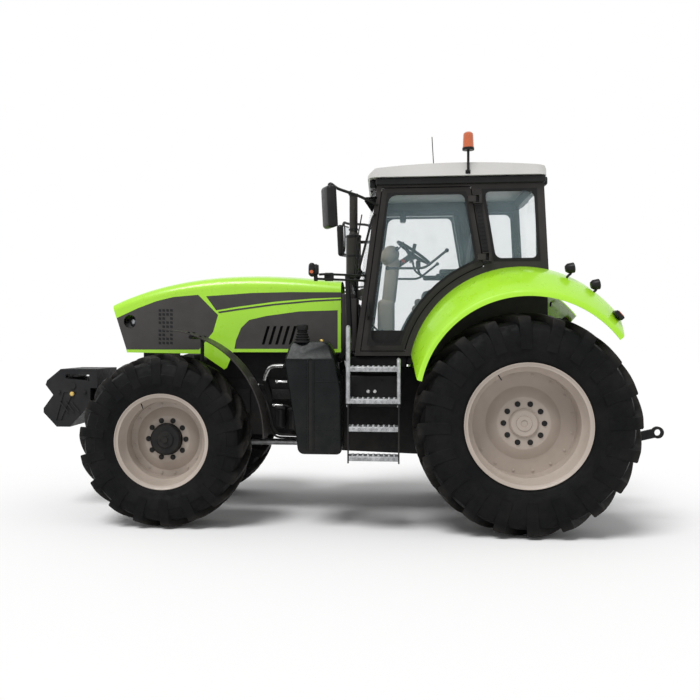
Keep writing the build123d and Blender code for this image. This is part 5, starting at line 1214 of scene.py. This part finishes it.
def addCushion(bm, size, place, lean, seams):
    # a closed padded form: a grid-cut block whose faces are crowned and whose sides pull in
    work = bmesh.new()
    bmesh.ops.create_cube(work, size=1.0)
    bmesh.ops.subdivide_edges(work, edges=work.edges[:], cuts=15, use_grid_fill=True)
    for vert in work.verts:
        x, y, z = vert.co * 2
        pull = 1 - 0.10 * z * z - 0.05 * (x * x) * (y * y)
        top = z * (0.72 + 0.14 * (1 - x * x) * (1 - y * y) + 0.07 * (2 - x * x - y * y))
        for axisIndex, at in seams:
            apart = abs((x, y)[axisIndex] - at)
            if apart < 0.16 and z > 0.6:
                top -= 0.16 * (1 - apart / 0.16) ** 2
        vert.co = Vector((x * pull, y * pull, top)) / 2
    bmesh.ops.scale(work, vec=size, verts=work.verts)
    bmesh.ops.smooth_vert(work, verts=work.verts, factor=0.5, use_axis_x=True, use_axis_y=True, use_axis_z=True)
    bmesh.ops.rotate(work, cent=(0, 0, 0), matrix=Matrix.Rotation(radians(lean), 3, "Y"), verts=work.verts)
    bmesh.ops.translate(work, vec=place, verts=work.verts)
    bmesh.ops.recalc_face_normals(work, faces=work.faces)
    joinInto(bm, work)


for name, size, place, lean, seams in cushions:
    bm = bmesh.new()
    addCushion(bm, size, place, lean, seams)
    cushion = pieceFrom(bm, name, "chassis", finishes["seat_cloth"], angle=80)
    smoother = cushion.modifiers.new("round", "SUBSURF")
    smoother.levels = smoother.render_levels = 1
    if name == "seat_cushion":
        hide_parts("seat")
bm = bmesh.new()
addBox(bm, (-1.20, -0.19, 1.530), (-0.80, 0.19, 1.600), bevel=0.02, segments=3)
for step in range(5):
    z = 1.615 + 0.064 * step
    addBox(
        bm, (-1.165 + 0.008 * (step % 2), -0.145, z), (-0.835 - 0.008 * (step % 2), 0.145, z + 0.060), bevel=0.024,
        segments=3,
    )
addBox(bm, (-1.225, -0.235, 1.930), (-0.765, 0.235, 1.972), bevel=0.018, segments=3)
for y in (-0.06, 0.06):
    addRod(bm, (-1.248, y, 2.60), (-1.262, y, 2.70), 0.007)
for side in sides.values():
    addBox(bm, (-1.19, side * 0.262, 2.215), (-0.90, side * 0.322, 2.262), bevel=0.02, segments=4)
    addBox(bm, (-1.20, side * 0.250, 2.02), (-1.15, side * 0.275, 2.24), bevel=0.01)
pieceFrom(bm, "seat_frame", "chassis", satinBlack)

# steering column, console and what stands in the cab
bm = bmesh.new()
pod = bmesh.new()
bmesh.ops.create_uvsphere(pod, u_segments=32, v_segments=20, radius=1.0)
bmesh.ops.scale(pod, vec=(0.085, 0.125, 0.100), verts=pod.verts)
bmesh.ops.rotate(pod, cent=(0, 0, 0), matrix=Matrix.Rotation(radians(-30), 3, "Y"), verts=pod.verts)
bmesh.ops.translate(pod, vec=(-0.455, 0, 2.415), verts=pod.verts)
joinInto(bm, pod)
for low, high, bevel, lean in (
    ((-0.50, -0.10, 1.53), (-0.34, 0.10, 2.00), 0.05, 0), ((-0.53, -0.075, 1.95), (-0.40, 0.075, 2.40), 0.045, -6),
):
    addBox(bm, low, high, bevel=bevel, segments=5, turn=Matrix.Rotation(radians(lean), 3, "Y"))
column = pieceFrom(bm, "column_shroud", "chassis", finishes["trim_beige"], angle=50)
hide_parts("steering_column")
steering = {"place": (-0.68, 0, 2.44), "lean": 35, "radius": 0.181, "grip": 0.014, "spokes": (90, 210, 330)}
bm = bmesh.new()
wheelAxis = Vector((-sin(radians(steering["lean"])), 0, cos(radians(steering["lean"]))))
wheelPlace = Vector(steering["place"])
turns = [2 * pi * step / 12 for step in range(12)]
rimRound = [(steering["grip"] * sin(turn), steering["radius"] + steering["grip"] * cos(turn)) for turn in turns]
addSpin(bm, rimRound, wheelPlace, wheelAxis, steps=64, closed=True)
across = Vector((0, 1, 0))
down = wheelAxis.cross(across)
hubPlace = wheelPlace - wheelAxis * 0.030
for turn in steering["spokes"]:
    reach = across * cos(radians(turn)) + down * sin(radians(turn))
    addTube(bm, [hubPlace, hubPlace + reach * 0.09 + wheelAxis * 0.004, wheelPlace + reach * 0.176], 0.011, bend=0.03)
addSpin(bm, [(-0.03, 0.0), (-0.03, 0.035), (0.0, 0.050), (0.018, 0.046), (0.022, 0.0)], hubPlace, wheelAxis, steps=32)
addRod(bm, hubPlace - wheelAxis * 0.16 + Vector((0.10, 0, 0)), hubPlace, 0.028)
addTube(bm, [(-0.50, 0.05, 2.44), (-0.56, 0.16, 2.49), (-0.58, 0.22, 2.52)], 0.007, bend=0.02)
addBox(
    bm, (-0.525, -0.085, 2.430), (-0.500, 0.085, 2.500), bevel=0.012, segments=3,
    turn=Matrix.Rotation(radians(-30), 3, "Y"),
)
for y in (-0.16, 0.10, 0.20):
    addBox(
        bm, (-0.42, y - 0.035, 1.60), (-0.39, y + 0.035, 1.72), bevel=0.01, turn=Matrix.Rotation(radians(30), 3, "Y"),
    )
    addRod(bm, (-0.385, y, 1.66), (-0.27, y, 1.78), 0.009)
pieceFrom(bm, "steering_wheel", "chassis", satinBlack)
bm = bmesh.new()
addSpin(
    bm, [(0.0, 0.0), (0.0, 0.018), (0.014, 0.018), (0.020, 0.012), (0.020, 0.0)], (-0.575, 0.10, 2.350),
    (-0.6, 0.5, 0.6), steps=24,
)
pieceFrom(bm, "column_knob", "chassis", redPlastic)
bm = bmesh.new()
leverBm = bmesh.new()
addBox(bm, (-1.205, -0.515, 1.530), (-0.675, -0.305, 1.960), bevel=0.035, segments=4)
addBox(bm, (-1.190, -0.500, 1.950), (-0.700, -0.330, 2.020), bevel=0.024, segments=4)
console = pieceFrom(bm, "console_body", "chassis", finishes["trim_beige"], angle=50)
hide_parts("side_console")
addBox(leverBm, (-1.13, -0.470, 2.205), (-0.78, -0.350, 2.250), bevel=0.02, segments=4)
addBox(leverBm, (-1.12, -0.440, 2.00), (-1.06, -0.380, 2.22), bevel=0.012)
addTube(leverBm, [(-0.80, -0.41, 2.23), (-0.745, -0.41, 2.27), (-0.735, -0.41, 2.33)], 0.012, bend=0.03)
addBox(leverBm, (-0.758, -0.432, 2.315), (-0.712, -0.388, 2.405), bevel=0.018, segments=4)
for x in (-0.98, -0.92, -0.86):
    addRod(leverBm, (x, -0.36, 2.01), (x + 0.015, -0.36, 2.085), 0.005)
    addSpin(
        leverBm, [(0.0, 0.0), (0.0, 0.010), (0.022, 0.013), (0.030, 0.008), (0.032, 0.0)], (x + 0.015, -0.36, 2.08),
        (0.1, 0, 1), steps=16,
    )
addBox(
    leverBm, (-0.70, -0.52, 2.38), (-0.665, -0.30, 2.56), bevel=0.010, segments=3,
    turn=Matrix.Rotation(radians(-12), 3, "Y"),
)
addTube(leverBm, [(-0.78, -0.41, 2.24), (-0.70, -0.41, 2.30), (-0.675, -0.41, 2.42)], 0.010, bend=0.03)
addBox(leverBm, (-0.62, -0.67, 2.80), (-0.56, -0.53, 2.90), bevel=0.015, segments=3)
addTube(leverBm, [(-0.40, -0.60, 2.925), (-0.52, -0.60, 2.90), (-0.585, -0.60, 2.87)], 0.006, bend=0.03)
pieceFrom(leverBm, "console_levers", "chassis", satinBlack)
print("cab fitted out")


# pipes, filters and hoses on the chassis
fittings = {
    "chargePipe": ((0.700, 0.33, 1.240), (0.690, 0.36, 1.285), (0.640, 0.42, 1.378), (0.505, 0.44, 1.381)),
    "lowerHose": ((0.650, 0.27, 1.05), (0.672, 0.29, 1.16), (0.698, 0.328, 1.252)),
    "upperHose": ((0.515, 0.438, 1.381), (0.46, 0.44, 1.37), (0.40, 0.40, 1.28), (0.36, 0.26, 1.20)),
    "couplings": (  # place and reach
        (0.470, 0.505, 1.238, 0.11), (0.760, 0.262, 1.200, 0.09), (0.530, 0.300, 1.010, 0.10),
    ),
    "filters": (  # x, radius, low, high
        (0.555, 0.050, 0.80, 0.97), (0.435, 0.050, 0.78, 0.96), (0.325, 0.044, 0.84, 0.96),
    ),
    "fuelLine": ((0.70, 0.24, 1.05), (0.66, 0.285, 0.95), (0.625, 0.300, 0.80), (0.58, 0.30, 0.74), (0.30, 0.27, 0.73)),
    "oilLine": ((0.72, 0.24, 1.00), (0.685, 0.27, 0.90), (0.66, 0.27, 0.78), (0.60, 0.27, 0.71), (0.25, 0.25, 0.70)),
    "underCab": ((-0.12, 0.60, 1.36), (-0.30, 0.62, 1.33), (-0.52, 0.62, 1.36)),
}
bm = bmesh.new()
hoseBm = bmesh.new()
brightBm = bmesh.new()
for side in sides.values():
    # charge pipe with its clamps, and two drier couplings behind the mudguard
    addTube(brightBm, onSide(side, *fittings["chargePipe"]), 0.019, segments=16, bend=0.05)
    addTube(hoseBm, onSide(side, *fittings["lowerHose"]), 0.028, segments=16, bend=0.05)
    addTube(hoseBm, onSide(side, *fittings["upperHose"]), 0.028, segments=16, bend=0.06)
    for x, y, z, reach in fittings["couplings"]:
        addRod(brightBm, (x, side * y, z), (x + reach, side * y, z + 0.002), 0.011, segments=16, bevel=0.002)
        addRod(
            brightBm, (x + reach * 0.75, side * y, z), (x + reach * 0.95, side * y, z), 0.015, segments=6,
            bevel=0.002,
        )
        hose = (
            (x, y, z), (x - 0.06, y, z - 0.01), (x - 0.10, 0.5 * y + 0.13, z - 0.07), (x - 0.11, 0.25, z - 0.12),
        )
        addTube(hoseBm, onSide(side, *hose), 0.012, bend=0.05)
    # filters in a row and a coupling block
    for x, radius, low, high in fittings["filters"]:
        addSpin(
            bm,
            [
                (0.0, 0.0), (0.0, radius * 0.8), (0.012, radius), (high - low - 0.03, radius),
                (high - low - 0.02, radius * 1.06), (high - low, radius * 1.06), (high - low, 0.0),
            ],
            (x, side * 0.285, low), (0, 0, 1), steps=36,
        )
        addBox(bm, (x - 0.05, side * 0.21, high), (x + 0.05, side * 0.330, high + 0.030), bevel=0.010)
    addBox(bm, (0.38, side * 0.215, 1.06), (0.68, side * 0.285, 1.16), bevel=0.015)
    for step in range(6):
        addBolt(bm, (0.41 + 0.047 * step, side * 0.285, 1.11), (0, side, 0), 0.010)
    addTube(hoseBm, onSide(side, *fittings["fuelLine"]), 0.013, bend=0.08)
    addTube(hoseBm, onSide(side, *fittings["oilLine"]), 0.010, bend=0.08)
    # housing flange bolts and the cross plate behind the ladder
    for step in range(7):
        z = 0.80 + 0.10 * step
        addBolt(bm, (-0.955, side * 0.560, z), (0, side, 0), 0.014)
    addBox(bm, (-0.56, side * 0.560, 1.02), (-0.10, side * 0.590, 1.30), bevel=0.012)
    addBox(bm, (-0.60, side * 0.02, 1.37), (-0.10, side * 0.60, 1.476), bevel=0.012)
    addBox(bm, (-0.95, side * 0.30, 1.40), (-0.58, side * 0.56, 1.476), bevel=0.012)
    for x in (-0.32, -0.26):
        addBolt(brightBm, (x, side * 0.590, 1.16), (0, side, 0), 0.012)
    addTube(hoseBm, onSide(side, *fittings["underCab"]), 0.013, bend=0.05)
pieceFrom(bm, "chassis_fittings", "chassis", satinBlack)
pieceFrom(hoseBm, "chassis_hoses", "chassis", sealRubber)
pieceFrom(brightBm, "bright_pipes", "chassis", chrome)

# front weights: tie bolt, catch bolts and cast ridges
weightForm = {
    "face": 0.342, "tie": (2.545, 1.105), "catches": ((2.42, 1.12), (2.67, 1.12)), "ridges": (2.47, 2.525, 2.58),
}
bm = bmesh.new()
capBm = bmesh.new()
for side in sides.values():
    face = side * weightForm["face"]
    addBolt(capBm, (weightForm["tie"][0], face, weightForm["tie"][1]), (0, side, 0), 0.017)
    for x, z in weightForm["catches"]:
        addBolt(bm, (x, face, z), (0, side, 0), 0.013)
    for x in weightForm["ridges"]:
        addTube(bm, onSide(side, (x, 0.343, 0.93), (x + 0.085, 0.343, 1.03)), 0.007)
pieceFrom(bm, "weight_bolts", "chassis", finishes["weight_black"])
pieceFrom(capBm, "weight_tie", "chassis", brassCap)

# nose: the grille's frame and bars
noseBars = {"count": 9, "low": 1.56, "high": 1.86, "half": 0.25, "radius": 0.0075}
bm = bmesh.new()
for row in range(noseBars["count"]):
    z = between(noseBars["low"], noseBars["high"], row / (noseBars["count"] - 1))
    points = []
    for step in range(13):
        y = between(-noseBars["half"], noseBars["half"], step / 12)
        hit, normal, _, _ = panelSkin.ray_cast(Vector((2.6, y, z)), Vector((-1, 0, 0)))
        if hit is None:
            hit, normal, _, _ = hoodSkin.ray_cast(Vector((2.6, y, z)), Vector((-1, 0, 0)))
        if hit is not None and hit.x > 1.8:
            points.append((hit.x + 0.002, y, z))
    if len(points) > 2:
        addTube(bm, points, noseBars["radius"])
pieceFrom(bm, "nose_bars", "hood", satinBlack)

# roof hatch, wipers and the rear of the tractor
bm = bmesh.new()
addBox(bm, (-1.30, -0.34, 3.118), (-0.72, 0.34, 3.139), bevel=0.009, segments=3)
pieceFrom(bm, "roof_hatch", "chassis", finishes["roof_grey"])
bm = bmesh.new()
addTube(bm, [(-0.125, 0.02, 2.085), (-0.150, 0.14, 2.30), (-0.178, 0.25, 2.52)], 0.008, bend=0.1)
addTube(bm, [(-0.118, 0.06, 2.20), (-0.150, 0.25, 2.52), (-0.200, 0.38, 2.76)], 0.006, bend=0.1)
addTube(bm, [(-1.812, 0.0, 2.36), (-1.808, 0.02, 2.60), (-1.802, 0.03, 2.80)], 0.007, bend=0.1)
addRod(bm, (-1.828, 0.0, 2.36), (-1.800, 0.0, 2.36), 0.022, bevel=0.004)
for side in sides.values():
    addTube(
        bm, onSide(side, (-1.830, 0.30, 2.30), (-1.862, 0.30, 2.31), (-1.862, 0.16, 2.31), (-1.830, 0.16, 2.30)),
        0.008, bend=0.015,
    )
pieceFrom(bm, "wipers_and_grips", "chassis", satinBlack)
couplers = {"rows": 3, "columns": (0.175, 0.255), "lowest": 1.338, "pitch": 0.070}
bm = bmesh.new()
redBm = bmesh.new()
for side in sides.values():
    # remote couplers in two columns, with their dust caps
    addBox(bm, (-2.030, side * 0.130, 1.300), (-1.960, side * 0.300, 1.520), bevel=0.012)
    for row in range(couplers["rows"]):
        for y in couplers["columns"]:
            z = couplers["lowest"] + couplers["pitch"] * row
            addSpin(
                bm, [(0.0, 0.0), (0.0, 0.024), (0.022, 0.024), (0.026, 0.018), (0.026, 0.0)], (-2.026, side * y, z),
                (-1, 0, 0), steps=24,
            )
            addSpin(
                redBm, [(0.0, 0.0), (0.0, 0.020), (0.012, 0.022), (0.020, 0.016), (0.020, 0.0)],
                (-2.050, side * y, z), (-1, 0, 0), steps=24,
            )
    # lift cylinders' rods stand beside the housing
    addSpin(
        bm, [(0.0, 0.0), (0.0, 0.038), (0.26, 0.038), (0.27, 0.032), (0.27, 0.0)], (-1.93, side * 0.34, 0.86),
        (0.12, 0, 1), steps=32,
    )
for step in range(8):
    turn = 2 * pi * step / 8
    addBolt(bm, (-1.99, 0.16 * cos(turn), 0.74 + 0.16 * sin(turn)), (-1, 0, 0), 0.010)
pieceFrom(bm, "rear_fittings", "chassis", satinBlack)
pieceFrom(redBm, "coupler_caps", "chassis", redPlastic)

# bolts that hold the front mudguards
for sideName, side in sides.items():
    bm = bmesh.new()
    guardTop = skinOf(f"front_fender_{sideName}")
    for x in (1.16, 1.26):
        for y in (0.88, 1.10):
            hit, normal, _, _ = guardTop.ray_cast(Vector((x, side * y, 2.2)), Vector((0, 0, -1)))
            if hit is not None:
                addBolt(bm, hit, normal, 0.012)
    pieceFrom(bm, f"mudguard_bolts_{sideName}", f"knuckle_{sideName}", satinBlack)
print("chassis dressed")
